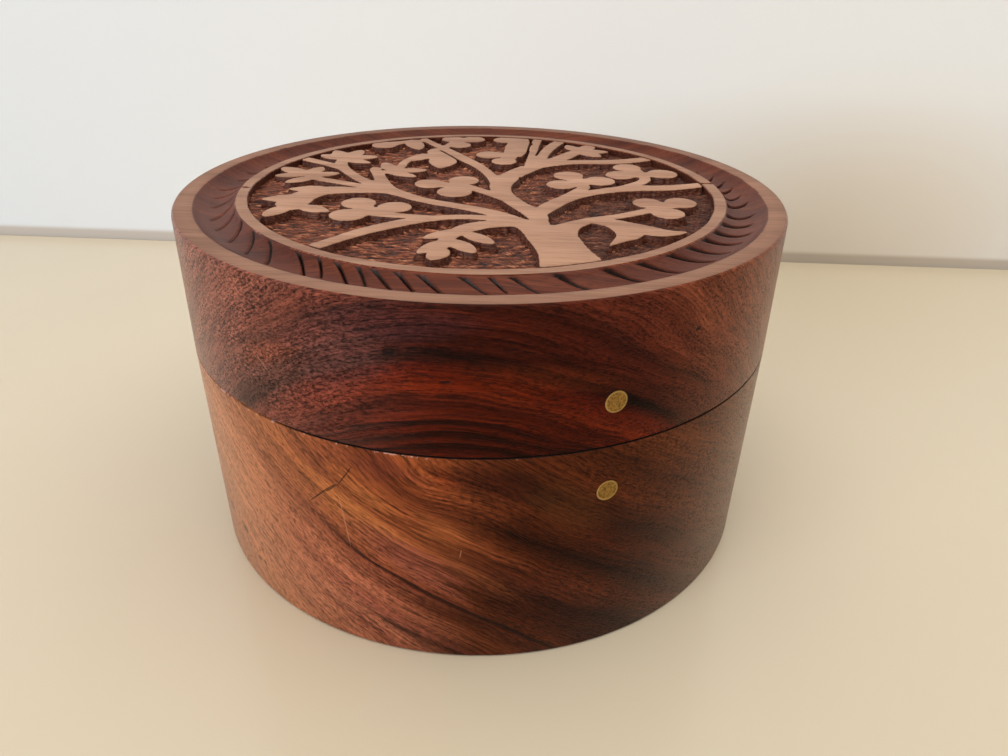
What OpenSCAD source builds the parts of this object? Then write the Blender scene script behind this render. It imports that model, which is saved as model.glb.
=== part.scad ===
// Round turned box for a rosary and keepsakes. The base has a spigot that the lid seats on,
// and the lid is carved with a tree inside a raised ring and a cove of gouge cuts.
// A loose pin hidden behind the lid's brass dot slides into the spigot when the dots line up.
// Millimetres, +Z up, the two brass dots face -Y, and the foot stands on Z = 0.

/* [Turned body] */
// Outside diameter at the seam
box_d = 150; // [140:1:165]
// Height of the base, from the table to the seam
base_h = 55.5; // [50:0.5:80]
// Height of the lid, from the seam to the rim
lid_h = 32.5; // [30:0.5:45]
// How much smaller the radius of the base is at the table than at the seam
base_taper = 1; // [0:0.1:2]
// Thickness of the wall of the lid's skirt
lid_wall = 8; // [7:0.1:9]
// Thickness of the wall of the spigot
spigot_wall = 5.2; // [4.6:0.1:7]
// Height of the spigot above the seam
spigot_h = 16; // [14:0.5:19]
// Radial gap between the spigot and the lid's skirt
lid_gap = 0.3; // [0.2:0.05:0.5]
// Thickness of the floor of the base, above the recess under it
floor_t = 8.5; // [6:0.5:12]
// Radius of the curve between the bowl's wall and its floor
bowl_fillet = 4; // [2:0.5:8]
// Thickness of the top of the lid, from its ceiling to the rim
lid_top_t = 10.5; // [8.5:0.5:12]
// Width of the ring that the base stands on
foot_w = 14; // [8:1:25]
// Depth of the turned recess inside that ring
foot_recess = 1.5; // [0.5:0.5:3]
// Radius of the eased edges at the table and at the rim
edge_r = 0.8; // [0.3:0.1:1.5]
// Size of the small chamfer on each side of the seam and on the spigot
seam_chamfer = 0.3; // [0.1:0.05:0.6]

/* [Carved lid] */
// Width of the flat rim
rim_w = 4.6; // [3:0.1:7]
// Width of the cove inside the rim
cove_w = 9.5; // [7:0.1:12]
// Depth of the cove at its middle
cove_depth = 2.6; // [1.5:0.1:3.5]
// Width of the raised ring round the tree
ring_w = 3; // [2:0.1:5]
// Depth of the ground that the tree stands out of
ground_depth = 2; // [1.2:0.1:3.6]
// Width of the chisel cut that parts the ends of the branches from the ring
tree_gap = 0.6; // [0.4:0.1:1.2]
// Half of the narrowest slit that the carver leaves open between two leaves
slit = 0.25; // [0.15:0.05:0.4]
// Number of gouge cuts round the cove
gouge_n = 56; // [40:1:72]
// Width of a gouge cut at the ring, where it is widest, measured round the cove
gouge_w = 2.1; // [1.2:0.1:2.8]
// Depth of a gouge cut below the cove at the ring
gouge_depth = 0.9; // [0.4:0.1:1.4]
// Angle that a gouge cut sweeps round the cove on its way out
gouge_sweep = 7.5; // [3:0.5:9]
// How far a gouge cut reaches out from the ring, across the cove
gouge_reach = 6; // [4:0.1:8]

/* [Brass dots and lock] */
// Diameter of the brass dots
dot_d = 5; // [4.4:0.1:7]
// Depth of the dot in the base
index_depth = 6; // [3:0.5:9]
// Depth of the dot in the lid, which closes the bore of the lock
plug_depth = 2; // [1.5:0.1:2.5]
// Height of the lid's dot above the seam
plug_rise = 10.2; // [9:0.1:11]
// Distance of the base's dot below the seam
index_drop = 11.2; // [8:0.1:20]
// Diameter of the lock pin
pin_d = 4; // [3:0.1:4.2]
// Radial running clearance of the lock pin in the lid
pin_fit = 0.08; // [0.05:0.01:0.1]
// Radial clearance of the lock pin in the spigot
catch_fit = 0.3; // [0.2:0.05:0.5]
// How far the lock pin slides in
pin_throw = 3.5; // [2.5:0.1:3.8]
// Gap that the lock pin keeps from what ends its bore
pin_end_gap = 0.15; // [0.1:0.05:0.3]

/* [Lining] */
// Thickness of the felt disc on the floor
felt_t = 1.5; // [1:0.1:3]
// Gap between the edge of the felt and the curve of the bowl
felt_gap = 0.5; // [0.2:0.1:2]

/* [Hidden] */
$fn = 192;
box_r = box_d / 2;
foot_r = box_r - base_taper;
top_z = base_h + lid_h;
skirt_r = box_r - lid_wall;
spigot_r = skirt_r - lid_gap;
bowl_r = spigot_r - spigot_wall;
spigot_top = base_h + spigot_h;
floor_z = foot_recess + floor_t;
ceiling_z = top_z - lid_top_t;
cove_out = box_r - rim_w;
cove_in = cove_out - cove_w;
field_r = cove_in - ring_w;
// Circle whose arc, with this chord and depth, is the section of the cove
cove_r = (cove_w * cove_w / 4 + cove_depth * cove_depth) / (2 * cove_depth);
ground_z = top_z - ground_depth;
plug_z = base_h + plug_rise;
index_z = base_h - index_drop;
plug_face = box_r - plug_depth;
// The parked pin lies wholly in the skirt, and its catch in the spigot is as deep as it needs
pin_len = lid_wall - plug_depth - pin_end_gap - lid_gap;
pin_out = plug_face - pin_end_gap;
catch_end = pin_out - pin_len - pin_throw - pin_end_gap;
cut = 1;
pin_ease = 0.3;
branch_steps = 3;
leaf_steps = 7;
bud_facets = 24;
field_facets = 180;
// Neck of a round leaf: its width and set-back at the stalk, and its share of the leaf's diameter
neck_w = 2.6;
neck_back = 0.6;
neck_share = 0.84;
// Below 1 the widest place of a narrow leaf lies before its middle
leaf_lean = 0.9;
// Gouge cut: gaps at the ring and at the rim, how much narrower and shallower it is at the rim,
// the share of its sweep that comes late, and how far its walls are carried above the cove
gouge_gap = 0.15;
gouge_narrow = 0.6;
gouge_shallow = 0.6;
gouge_curl = 0.6;
gouge_rise = 0.6;
gouge_steps = 3;
// The tree is drawn for a field of this radius and grows or shrinks with the ring
drawn_r = 57.9;
tree_k = field_r / drawn_r;

// Centre lines of the trunk and the branches, each point with the width there: [x, y, width]
branches = [
    // Trunk, its flare into the low right branch, and the middle stem
    [[-2.4, -58, 13.8], [-1, -51, 11.2], [0, -45, 10.8], [0.6, -39, 10.6], [-0.6, -33, 7]],
    [[0.5, -46, 10], [3.2, -40.4, 7.4], [8, -36.2, 3.8], [12, -34.2, 3.2]],
    [[1.4, -37, 3], [2.4, -31, 3.8], [3.7, -25, 5.4], [2.9, -18, 4.6], [2.6, -12, 4.6],
        [2.8, -7, 4.8], [4.4, -1, 5.6], [7.5, 4, 6], [11.7, 8.5, 5.8], [16.5, 12.3, 5.8], [22, 16, 5.4]],
    [[4.4, 0, 4], [5.6, 7, 3.2], [6.2, 14, 3], [6.2, 21, 3.2], [5.3, 28, 3.6], [4.5, 35, 3.4],
        [3.6, 42, 3], [2.4, 49, 2.6], [1.2, 58, 2.4]],
    // Twig to the middle sprig
    [[2, -13, 2.8], [0, -7, 2.9], [-1.7, -2.5, 3], [-3.8, 2, 3], [-6.3, 3.5, 3]],
    // Big left branch and its two prongs
    [[-0.6, -36, 6], [-2.6, -28, 4.8], [-5, -22, 4], [-8.2, -17.2, 3.7], [-11.8, -13, 3.4],
        [-15.4, -9.2, 3.3], [-18.6, -4.8, 3.4], [-21.2, 0.2, 3.8], [-23.4, 5, 4.8], [-23.6, 9.5, 4.4],
        [-22.9, 15, 3.4], [-22.2, 21, 3.2], [-21.8, 26, 3], [-21.6, 27.6, 1]],
    [[-24, 5, 4.4], [-26, 11, 3.8], [-27.9, 17, 3.2], [-29, 23, 3], [-29.7, 30, 3.2],
        [-29, 36, 3.4], [-27, 41, 3]],
    [[-29.4, 27.5, 2.4], [-31.8, 33, 2.8], [-35, 38.5, 3], [-39, 44.5, 3]],
    [[-25.5, 6.5, 4], [-30, 11.6, 2.8], [-34.5, 16.8, 2.8], [-37.8, 20.4, 2.8], [-40, 25.5, 2.6]],
    // Sprig stem right of the left prong, on to the big hanging leaf
    [[-21.8, 21.5, 2.6], [-17.7, 22.6, 3], [-14.5, 26, 2.5], [-12.6, 30, 2.5], [-9.5, 33.8, 2.5],
        [-4, 37.5, 3]],
    // Arch to the left lily
    [[-22, 2.4, 3.2], [-26.5, 5.4, 3.8], [-31, 7, 4.4], [-36, 8.8, 6], [-40.5, 8.8, 7],
        [-45, 5.4, 7.4], [-48, 0.6, 8], [-47.6, -4, 5]],
    // Low left branch and its twig
    [[-3.5, -29, 4], [-8, -24.2, 3.2], [-13.5, -21.6, 2.9], [-19.5, -20.6, 3.4], [-25, -21, 4.1],
        [-30, -22.2, 4.2], [-36.5, -24.4, 3.9], [-42, -27.2, 3.5], [-50, -31.6, 3.3]],
    [[-20, -20, 2.6], [-26.3, -16.4, 2.9], [-30.5, -13.6, 3.2], [-32.3, -12, 3]],
    // Stem of the low left frond
    [[-3, -29.5, 5], [-9, -28.6, 4.6], [-14.5, -29.6, 5], [-19, -32.6, 3.6], [-22.4, -37, 3.4],
        [-24.6, -41, 2.6]],
    // Low right branch, and the two petals of the lily under it
    [[2.5, -37.2, 4.4], [8.3, -34.7, 3.4], [14, -33.5, 3.4], [21, -32.9, 2.9], [27, -31.9, 3],
        [34.5, -30, 3]],
    [[14.5, -34.4, 3], [18, -37.6, 6], [18.8, -42, 7.2], [17, -45.3, 5.8], [13.6, -47.6, 2.6],
        [9.9, -50, 0.4]],
    [[19, -37.6, 4], [21.4, -42, 5.6], [24, -45.6, 5.4], [27, -47.3, 3], [30.3, -47.8, 0.6]],
    // Middle right branch and its two twigs
    [[3.4, -26, 4], [8.5, -21.4, 4.6], [14.4, -17, 4.5], [20, -14.4, 4.3], [26, -13.2, 3.8],
        [32, -12.8, 4.2], [38, -13.5, 4.6], [43, -15.1, 4.4], [49, -16, 4], [58, -15.8, 3.2]],
    [[16.5, -14.8, 3], [21.5, -11.2, 3.2], [24.8, -8.2, 3.2], [25.8, -4.5, 3]],
    [[33.5, -12, 3], [39.5, -9.8, 3], [43.6, -7, 3], [45.5, -2.5, 3]],
    // Upper right branches
    [[21, 15.5, 5], [27, 16.2, 4.2], [33, 16.2, 3.9], [38, 15, 4], [43, 13.3, 4.2], [49, 12.5, 4.3],
        [58, 13.2, 3.6]],
    [[21, 15.2, 4.6], [29.5, 19.6, 4.8], [34.5, 23, 4.6], [38.5, 26, 4.2], [42, 28, 3.6]],
    [[21, 15.5, 4.6], [25, 20.6, 3.4], [28.5, 26, 3.2], [32, 31, 3.4], [36, 36, 3.6], [41.5, 41.5, 3.6]],
    [[17.5, 12.8, 4.6], [21.6, 20.4, 2.5], [25, 27, 2.5], [28.4, 33, 2.7], [31.8, 39.5, 2.8],
        [36, 46.5, 2.8]],
    // Long leaf beside them, and the stems of the two sprigs at the top
    [[19.4, 28, 5.4], [22.6, 33, 6.8], [25.6, 38.5, 7.4], [28.4, 44, 6.4], [31.4, 49.5, 4.6]],
    [[3.4, 43, 2.2], [6.6, 47, 2.6], [9.6, 50.4, 3]],
    [[1.6, 53.6, 2.2], [-2, 55.4, 2.4], [-6.5, 54.6, 2.6]],
    // Big leaf that hangs left of the upper stem
    [[4, 41, 2.2], [1.4, 42.6, 2.2], [-0.4, 41, 3.6], [-0.7, 37, 5], [-0.9, 33, 6.2], [-1.6, 28.5, 8],
        [-3, 25, 6], [-4.6, 21.6, 1.2]]
];

// Round leaves of the sprigs: [x and y of the stalk's end, angle, reach, diameter]
buds = [
    [-32.3, -12, 95, 12.4, 8.3], [-32.3, -12, 19, 10.9, 8.1], [-32.3, -12, 180, 9.4, 8.5],
    [34.9, -30, 111, 8.2, 7.4], [34.9, -30, 16, 10.4, 7.9], [34.9, -30, 255, 8.7, 7.9],
    [25.8, -4.5, 177, 9.5, 7.9], [25.8, -4.5, 3, 9.7, 8.2], [25.8, -4.5, 90, 11.7, 8.1],
    [45.5, -2.5, 162, 10.2, 8], [45.5, -2.5, 354, 10, 8.4], [45.5, -2.5, 92, 12.2, 7.8],
    [-6.3, 3.5, 147, 10.7, 7.8], [-6.3, 3.5, 46, 9.3, 8], [-6.3, 3.5, 249, 10.1, 8.8],
    [20, 30, 166, 10.4, 7.8], [20.5, 29.5, 229, 12, 7.2], [26.5, 46, 125, 6, 7],
    [9.6, 50.4, 268, 8, 7], [9.6, 50.4, 12, 10.2, 7.2], [9.6, 50.4, 84, 7, 7],
    [-6.5, 54.6, 197, 10, 7.6]
];

// Narrow leaves: [x and y of the foot, angle, length, width, point], where point is 0.5 for a
// rounded end and 1 for a sharp one
leaves = [
    // Left lily
    [-36, 9.6, 160, 11.8, 5.6, 1], [-44, 4.4, 167, 10.8, 6, 1], [-49, -1, 222, 8.8, 4.8, 0.5],
    [-47, -1.5, 312, 9.2, 5, 0.9],
    // Low left frond
    [-15.5, -30.5, 193, 10.6, 4.2, 0.6], [-21, -35.6, 214, 10.4, 4.2, 0.7],
    [-23.4, -40.6, 228, 7, 4.6, 0.5], [-20.6, -35.6, 284, 9.6, 4.4, 0.6],
    [-16.4, -32, 292, 9.8, 4.2, 0.6],
    // Sprig by the left prong
    [-17.7, 22.4, 91, 9.2, 4.2, 0.5], [-17.4, 22.4, 348, 9, 4.4, 0.6], [-19.4, 22.2, 309, 9.6, 3.8, 0.6],
    // Sprig at the end of the left prong
    [-27, 39.5, 132, 8.8, 5, 0.6], [-27, 40.5, 95, 9.6, 4.8, 0.6], [-26.6, 40, 52, 10.4, 5, 0.6],
    [-26.4, 40, 354, 8.8, 4.8, 0.6], [-27.6, 39, 314, 8.8, 3.8, 0.6],
    // Far left sprig
    [-40, 26.4, 122, 10.6, 5, 0.6], [-39.6, 26, 172, 9, 4.4, 0.6], [-38.6, 22.8, 200, 8.8, 4.2, 0.6],
    [-40, 24.8, 358, 8.2, 4.4, 0.6], [-40, 26, 50, 8, 4.4, 0.6],
    // Far right sprig
    [41, 27.4, 92, 8.4, 4.4, 0.6], [41.6, 27.6, 40, 9.6, 4.8, 0.6], [41.4, 27.4, 336, 8.4, 4.6, 0.6],
    [41, 27.4, 292, 8.6, 5, 0.6],
    // Leaf of the hanging pair, and the upright leaf at the top
    [-1.6, 37.6, 211, 11.4, 5.2, 0.7], [-2.8, 57, 265, 13, 5.6, 0.6]
];

// Point at t on a smooth curve through the points p; t runs from 0 to len(p) - 1
function curve(p, t) =
    let (i = min(floor(t), len(p) - 2), u = t - i, a = p[max(i - 1, 0)], b = p[i], c = p[i + 1],
        d = p[min(i + 2, len(p) - 1)])
    (2 * b + (c - a) * u + (2 * a - 5 * b + 4 * c - d) * u * u
        + (3 * b - a - 3 * c + d) * u * u * u) / 2;

// Heading of that curve at t, as a unit vector in the plane
function heading(p, t) =
    let (d = curve(p, min(t + 0.05, len(p) - 1)) - curve(p, max(t - 0.05, 0)), l = norm([d.x, d.y]))
    [d.x, d.y] / l;

// Edge of a branch on one side of its centre line
function edge(p, side) =
    [for (k = [0 : (len(p) - 1) * branch_steps])
        let (t = k / branch_steps, q = curve(p, t), h = heading(p, t))
        [q.x - side * h.y * q.z / 2, q.y + side * h.x * q.z / 2]];

// Quarter arc of radius r about the point [x, y], starting at angle a
function quarter(x, y, r, a, turn = 90) =
    [for (k = [0 : 4]) let (t = a + turn * k / 4) [x + r * cos(t), y + r * sin(t)]];

function reversed(v) = [for (k = [len(v) - 1 : -1 : 0]) v[k]];

module branch(p) {
    polygon(tree_k * concat(edge(p, 1), reversed(edge(p, -1))));
}

// Round leaf on a neck that widens into it
module bud(b) {
    d = b[4];
    middle = b[3] - d / 2;
    shoulder = neck_share * d / 2;
    translate(tree_k * [b[0], b[1]]) rotate(b[2]) scale(tree_k) {
        translate([middle, 0]) circle(d = d, $fn = bud_facets);
        polygon([[-neck_back, -neck_w / 2], [middle, -shoulder], [middle, shoulder],
            [-neck_back, neck_w / 2]]);
    }
}

// Oval or pointed leaf, widest a little before its middle
module leaf(v) {
    rim = [for (k = [1 : leaf_steps - 1])
        let (s = (1 - cos(180 * k / leaf_steps)) / 2)
        [v[3] * s, v[4] / 2 * pow(sin(180 * pow(s, leaf_lean)), v[5])]];
    translate(tree_k * [v[0], v[1]]) rotate(v[2]) scale(tree_k)
        polygon(concat([[0, 0]], rim, [[v[3], 0]], [for (q = reversed(rim)) [q.x, -q.y]]));
}

// The whole tree in plan, clear of the ring, with its narrowest slits closed
module tree_plan() {
    offset(delta = -slit) offset(delta = slit) intersection() {
        circle(r = field_r - tree_gap, $fn = field_facets);
        union() {
            for (p = branches) branch(p);
            for (b = buds) bud(b);
            for (v = leaves) leaf(v);
        }
    }
}

// One gouge cut: a V groove that leaves the ring on a slant and runs out past the middle of the cove
module gouge_cut() {
    n = gouge_steps;
    rings = [for (k = [0 : n])
        let (s = k / n, r = cove_in + gouge_gap + (gouge_reach - gouge_gap) * s,
            a = gouge_sweep * s * (1 + gouge_curl - gouge_curl * s),
            across = r - cove_in - cove_w / 2,
            surface = top_z - cove_depth + cove_r - sqrt(cove_r * cove_r - across * across),
            w = gouge_w * (1 - gouge_narrow * s), d = gouge_depth * (1 - gouge_shallow * s),
            up = w / 2 * (1 + gouge_rise / d))
        each [[r * cos(a) - up * sin(a), r * sin(a) + up * cos(a), surface + gouge_rise],
            [r * cos(a), r * sin(a), surface - d],
            [r * cos(a) + up * sin(a), r * sin(a) - up * cos(a), surface + gouge_rise]]];
    sides = [for (k = [0 : n - 1], j = [0 : 2])
        let (a = 3 * k + j, b = 3 * k + (j + 1) % 3) each [[a, b, b + 3], [a, b + 3, a + 3]]];
    polyhedron(rings, concat([[2, 1, 0]], sides, [[3 * n, 3 * n + 1, 3 * n + 2]]));
}

// Outline of the base outside, where its brass dot is sanded flush
module base_outside() {
    polygon([[0, 0], [foot_r, 0], [box_r, base_h], [0, base_h]]);
}

// Cylinder that points out of the front, from radius r1 to radius r2 at height z
module radial(z, d, r1, r2) {
    translate([0, -r1, z]) rotate([90, 0, 0]) cylinder(d = d, h = r2 - r1);
}

module base_body() {
    color("saddlebrown") difference() {
        rotate_extrude() polygon(concat(
            [[0, foot_recess], [foot_r - foot_w, foot_recess], [foot_r - foot_w, 0]],
            quarter(foot_r - edge_r, edge_r, edge_r, -90),
            [[box_r, base_h - seam_chamfer], [box_r - seam_chamfer, base_h], [spigot_r, base_h],
                [spigot_r, spigot_top - seam_chamfer], [spigot_r - seam_chamfer, spigot_top],
                [bowl_r + seam_chamfer, spigot_top], [bowl_r, spigot_top - seam_chamfer]],
            quarter(bowl_r - bowl_fillet, floor_z + bowl_fillet, bowl_fillet, 0, -90),
            [[0, floor_z]]));
        radial(index_z, dot_d, box_r - index_depth, box_r + cut);
        radial(plug_z, pin_d + 2 * catch_fit, catch_end, spigot_r + cut);
    }
}

module base_index_dot() {
    color("goldenrod") intersection() {
        radial(index_z, dot_d, box_r - index_depth, box_r + cut);
        rotate_extrude() base_outside();
    }
}

module base_lining() {
    color("darkred") translate([0, 0, floor_z])
        cylinder(r = bowl_r - bowl_fillet - felt_gap, h = felt_t);
}

module lid_body() {
    color("sienna") difference() {
        rotate_extrude() difference() {
            polygon(concat(
                [[0, ceiling_z]],
                quarter(skirt_r - bowl_fillet, ceiling_z - bowl_fillet, bowl_fillet, 90, -90),
                [[skirt_r, base_h + seam_chamfer], [skirt_r + seam_chamfer, base_h],
                    [box_r - seam_chamfer, base_h], [box_r, base_h + seam_chamfer]],
                quarter(box_r - edge_r, top_z - edge_r, edge_r, 0),
                [[0, top_z]]));
            translate([cove_in + cove_w / 2, top_z - cove_depth + cove_r]) circle(r = cove_r);
        }
        translate([0, 0, ground_z]) linear_extrude(ground_depth + cut) difference() {
            circle(r = field_r);
            tree_plan();
        }
        for (k = [0 : gouge_n - 1]) rotate(360 * (k + 0.5) / gouge_n) gouge_cut();
        radial(plug_z, dot_d, plug_face, box_r + cut);
        radial(plug_z, pin_d + 2 * pin_fit, skirt_r - cut, plug_face + cut / 2);
    }
}

module lid_plug_dot() {
    color("goldenrod") intersection() {
        radial(plug_z, dot_d, plug_face, box_r + cut);
        translate([0, 0, base_h]) cylinder(r = box_r, h = lid_h);
    }
}

// Lock pin with eased ends, parked in the lid
module lock_pin() {
    r = pin_d / 2;
    color("silver") translate([0, -(pin_out - pin_len), plug_z]) rotate([90, 0, 0]) rotate_extrude()
        polygon([[0, 0], [r - pin_ease, 0], [r, pin_ease], [r, pin_len - pin_ease],
            [r - pin_ease, pin_len], [0, pin_len]]);
}

base_body();
base_index_dot();
base_lining();
lid_body();
lid_plug_dot();
lock_pin();
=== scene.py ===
import math

import bpy
import numpy as np
from mathutils import Matrix, Vector


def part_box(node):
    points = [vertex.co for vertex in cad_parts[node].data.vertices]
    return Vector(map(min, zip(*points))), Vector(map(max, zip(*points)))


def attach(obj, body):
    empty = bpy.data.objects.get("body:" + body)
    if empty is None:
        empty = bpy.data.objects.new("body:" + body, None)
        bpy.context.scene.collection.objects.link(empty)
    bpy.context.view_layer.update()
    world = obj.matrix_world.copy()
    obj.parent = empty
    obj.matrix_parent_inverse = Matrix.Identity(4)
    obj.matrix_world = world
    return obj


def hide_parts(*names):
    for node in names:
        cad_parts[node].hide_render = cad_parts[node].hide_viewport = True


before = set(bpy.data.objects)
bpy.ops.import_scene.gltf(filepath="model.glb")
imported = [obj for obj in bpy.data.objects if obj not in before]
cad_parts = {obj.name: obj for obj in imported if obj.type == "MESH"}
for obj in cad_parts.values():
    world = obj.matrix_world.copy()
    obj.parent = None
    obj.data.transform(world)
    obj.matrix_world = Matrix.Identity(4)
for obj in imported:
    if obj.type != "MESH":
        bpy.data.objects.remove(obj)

bl_info = {
    "name": "Carved rosary box",
    "version": (1, 0, 0),
    "blender": (4, 5, 0),
    "location": "View3D > Sidebar > Rosary box",
    "description": "Dresses the round turned box: wood, carving, brass, felt and the stage it stands on",
    "category": "Object",
}

MM = 0.001
TAU = 2 * math.pi
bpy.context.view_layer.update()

# Heights and radii of the turned body, in millimetres, as the frame has them
SEAM_Z = 55.5
TOP_Z = 88.0
BOX_R = 75.0
FOOT_R = 74.0
SKIRT_R = 67.0
SPIGOT_R = 66.7
SPIGOT_TOP = 71.5
BOWL_R = 61.5
FLOOR_Z = 10.0
CEILING_Z = 77.5
FILLET_R = 4.0
FOOT_RING_IN = 60.0
FOOT_RECESS = 1.5
RIM_IN = 70.4
RING_OUT = 60.9
RING_IN = 57.9
COVE_DEPTH = 2.6
GROUND_Z = 86.1
PLUG_Z = 65.7
INDEX_Z = 44.3
PIN_BORE_R = 2.08
PIN_CATCH_R = 2.3
EASE = 0.8
CHAMFER = 0.3

# The gouge cuts end inside CUTS_OUT. The sink under the carving takes the block of ground: its underside and radius,
# and the grid that it is worked from, finer across the fibres
CUTS_OUT = 68.4
SINK_Z = 84.6
GROUND_BOTTOM_Z = 84.8
GROUND_R = 58.15
GROUND_HALF = 58.8
GROUND_CELLS = (200, 470)

# Grid that the tree's outline is worked out on
FIELD_HALF = 58.6
FIELD_STEP = 0.1
# A slit in the left leaf of the middle sprig that is closed, and the gap beside the long leaf that is cut:
# both ends and half the width
CLOSED_SLIT = ((-10.4, 10.2), (-4.3, 0.9), 0.55)
LEAF_GAP = ((23.4, 26.8), (33.6, 46.3), 0.34)

# Gouge cuts on the near side: angles where each leaves the ring and where it ends, and its outer radius
NEAR_CUTS = [
    (150.5, 158.6, 68.2), (156.6, 164.3, 67.6), (163.4, 170.9, 67.0), (171.6, 179.7, 67.1), (179.4, 186.2, 66.8),
    (187.6, 194.0, 66.2), (195.1, 201.6, 66.3), (202.1, 208.6, 66.3), (211.2, 217.7, 65.9), (216.9, 220.8, 65.0),
    (221.0, 226.8, 65.9), (225.7, 229.9, 65.2), (228.6, 235.2, 66.0), (233.4, 238.6, 65.2), (237.6, 244.2, 66.1),
    (245.0, 252.1, 66.2), (250.5, 254.0, 64.2), (254.0, 260.8, 66.3), (262.3, 269.4, 66.2), (272.2, 280.0, 66.4),
    (279.7, 288.4, 66.7), (287.6, 296.8, 66.9), (294.1, 302.9, 67.1), (300.4, 309.4, 67.3), (306.5, 315.5, 67.9),
    (312.6, 321.8, 67.6), (318.9, 327.9, 68.0), (327.0, 336.6, 68.1), (333.5, 341.8, 68.0), (339.4, 347.5, 68.1),
    (344.6, 352.3, 68.3), (349.6, 357.2, 68.3),
]

# The timber's own axes: the fibres run along one, and the growth layers lean back from the other
LEAN_DEG = -25.0
ALONG = (math.cos(math.radians(LEAN_DEG)), math.sin(math.radians(LEAN_DEG)))
OUTWARD = (math.sin(math.radians(LEAN_DEG)), -math.cos(math.radians(LEAN_DEG)))
# How far round the side, in millimetres from the front, its tints start to fade and have gone
TINT_FADES = 135.0
TINT_END = 222.0


def paint(red, green, blue):
    """Linear colour of a given 8-bit screen colour."""
    def linear(v):
        v /= 255
        return v / 12.92 if v <= 0.04045 else ((v + 0.055) / 1.055) ** 2.4
    return (linear(red), linear(green), linear(blue), 1.0)


# ---------------------------------------------------------------- sizes and colours

class BoxShape(bpy.types.PropertyGroup):
    """Sizes of the dressed pieces."""
    turned_steps: bpy.props.IntProperty(
        name="Steps round the lid", description="Facets round the carved lid", default=1440, min=120)
    base_steps: bpy.props.IntProperty(
        name="Steps round the base", description="Facets round the base", default=384, min=64)
    gouge_depth: bpy.props.FloatProperty(
        name="Gouge depth", description="Depth of a gouge cut below the cove", default=1.0 * MM, unit="LENGTH")
    tree_ease: bpy.props.FloatProperty(
        name="Eased edge", description="Width of the eased edge round the tree", default=0.2 * MM, unit="LENGTH")
    knife_width: bpy.props.FloatProperty(
        name="Knife width", description="Slits narrower than this are closed, slivers thinner than half are cut off",
        default=0.7 * MM, unit="LENGTH")
    tool_marks: bpy.props.IntProperty(
        name="Tool marks", description="Number of chisel marks in the ground", default=21000, min=0)
    tool_depth: bpy.props.FloatProperty(
        name="Tool mark depth", description="Depth of the chisel marks in the ground", default=0.34 * MM, unit="LENGTH")
    dot_radius: bpy.props.FloatProperty(
        name="Dot radius", description="Radius of the brass dots", default=2.5 * MM, unit="LENGTH")
    felt_radius: bpy.props.FloatProperty(
        name="Felt radius", description="Radius of the felt disc", default=57 * MM, unit="LENGTH")
    felt_thickness: bpy.props.FloatProperty(
        name="Felt thickness", description="Thickness of the felt disc", default=1.5 * MM, unit="LENGTH")


class BoxFinish(bpy.types.PropertyGroup):
    """Colours and gloss of the finishes."""
    brass: bpy.props.FloatVectorProperty(
        name="Brass", description="Colour of the brass", subtype="COLOR", size=4, default=paint(168, 130, 66))
    steel: bpy.props.FloatVectorProperty(
        name="Steel", description="Colour of the pin", subtype="COLOR", size=4, default=paint(176, 178, 180))
    felt: bpy.props.FloatVectorProperty(
        name="Felt", description="Colour of the felt", subtype="COLOR", size=4, default=paint(96, 20, 28))
    table: bpy.props.FloatVectorProperty(
        name="Table", description="Colour of the table", subtype="COLOR", size=4, default=paint(211, 199, 178))
    wall: bpy.props.FloatVectorProperty(
        name="Wall", description="Colour of the wall", subtype="COLOR", size=4, default=paint(238, 241, 245))
    lacquer_roughness: bpy.props.FloatProperty(
        name="Lacquer roughness", description="Roughness of the lacquered sides", default=0.3, min=0, max=1)


# ---------------------------------------------------------------- modelling helpers

def fresh():
    """Deselect everything in object mode."""
    if bpy.context.object and bpy.context.object.mode != "OBJECT":
        bpy.ops.object.mode_set(mode="OBJECT")
    bpy.ops.object.select_all(action="DESELECT")


def only(piece):
    fresh()
    piece.select_set(True)
    bpy.context.view_layer.objects.active = piece


def named(name):
    """Name the piece just added, and its mesh."""
    piece = bpy.context.object
    piece.name = name
    piece.data.name = name
    return piece


def settle(piece):
    """Put a piece's place into its mesh, so that its object sits at the origin."""
    only(piece)
    bpy.ops.object.transform_apply(location=True, rotation=True, scale=True)


def blank(name, radius, length, place, steps, lying=False):
    """A cylinder to make a piece from, in metres; a lying one points to the front."""
    fresh()
    bpy.ops.mesh.primitive_cylinder_add(vertices=steps, radius=radius, depth=length, location=place,
                                        rotation=(math.pi / 2 if lying else 0, 0, 0))
    piece = named(name)
    settle(piece)
    return piece


def corners(piece):
    flat = np.empty(len(piece.data.vertices) * 3)
    piece.data.vertices.foreach_get("co", flat)
    return flat.reshape(-1, 3)


def reshape(piece, points):
    piece.data.vertices.foreach_set("co", points.ravel())
    piece.data.update()


def polar(points):
    """Distance from the box's middle line in millimetres, and angle."""
    return np.hypot(points[:, 0], points[:, 1]) / MM, np.arctan2(points[:, 1], points[:, 0])


def face_facts(piece):
    """Middle and normal of every face."""
    count = len(piece.data.polygons)
    middle, normal = np.empty(count * 3), np.empty(count * 3)
    piece.data.polygons.foreach_get("center", middle)
    piece.data.polygons.foreach_get("normal", normal)
    return middle.reshape(-1, 3), normal.reshape(-1, 3)


def pick_faces(piece, chosen):
    """Select the chosen faces of a piece and go into edit mode."""
    only(piece)
    bpy.ops.object.mode_set(mode="EDIT")
    bpy.ops.mesh.select_mode(type="FACE")
    bpy.ops.mesh.select_all(action="DESELECT")
    bpy.ops.object.mode_set(mode="OBJECT")
    piece.data.polygons.foreach_set("select", chosen)
    bpy.ops.object.mode_set(mode="EDIT")


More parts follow.
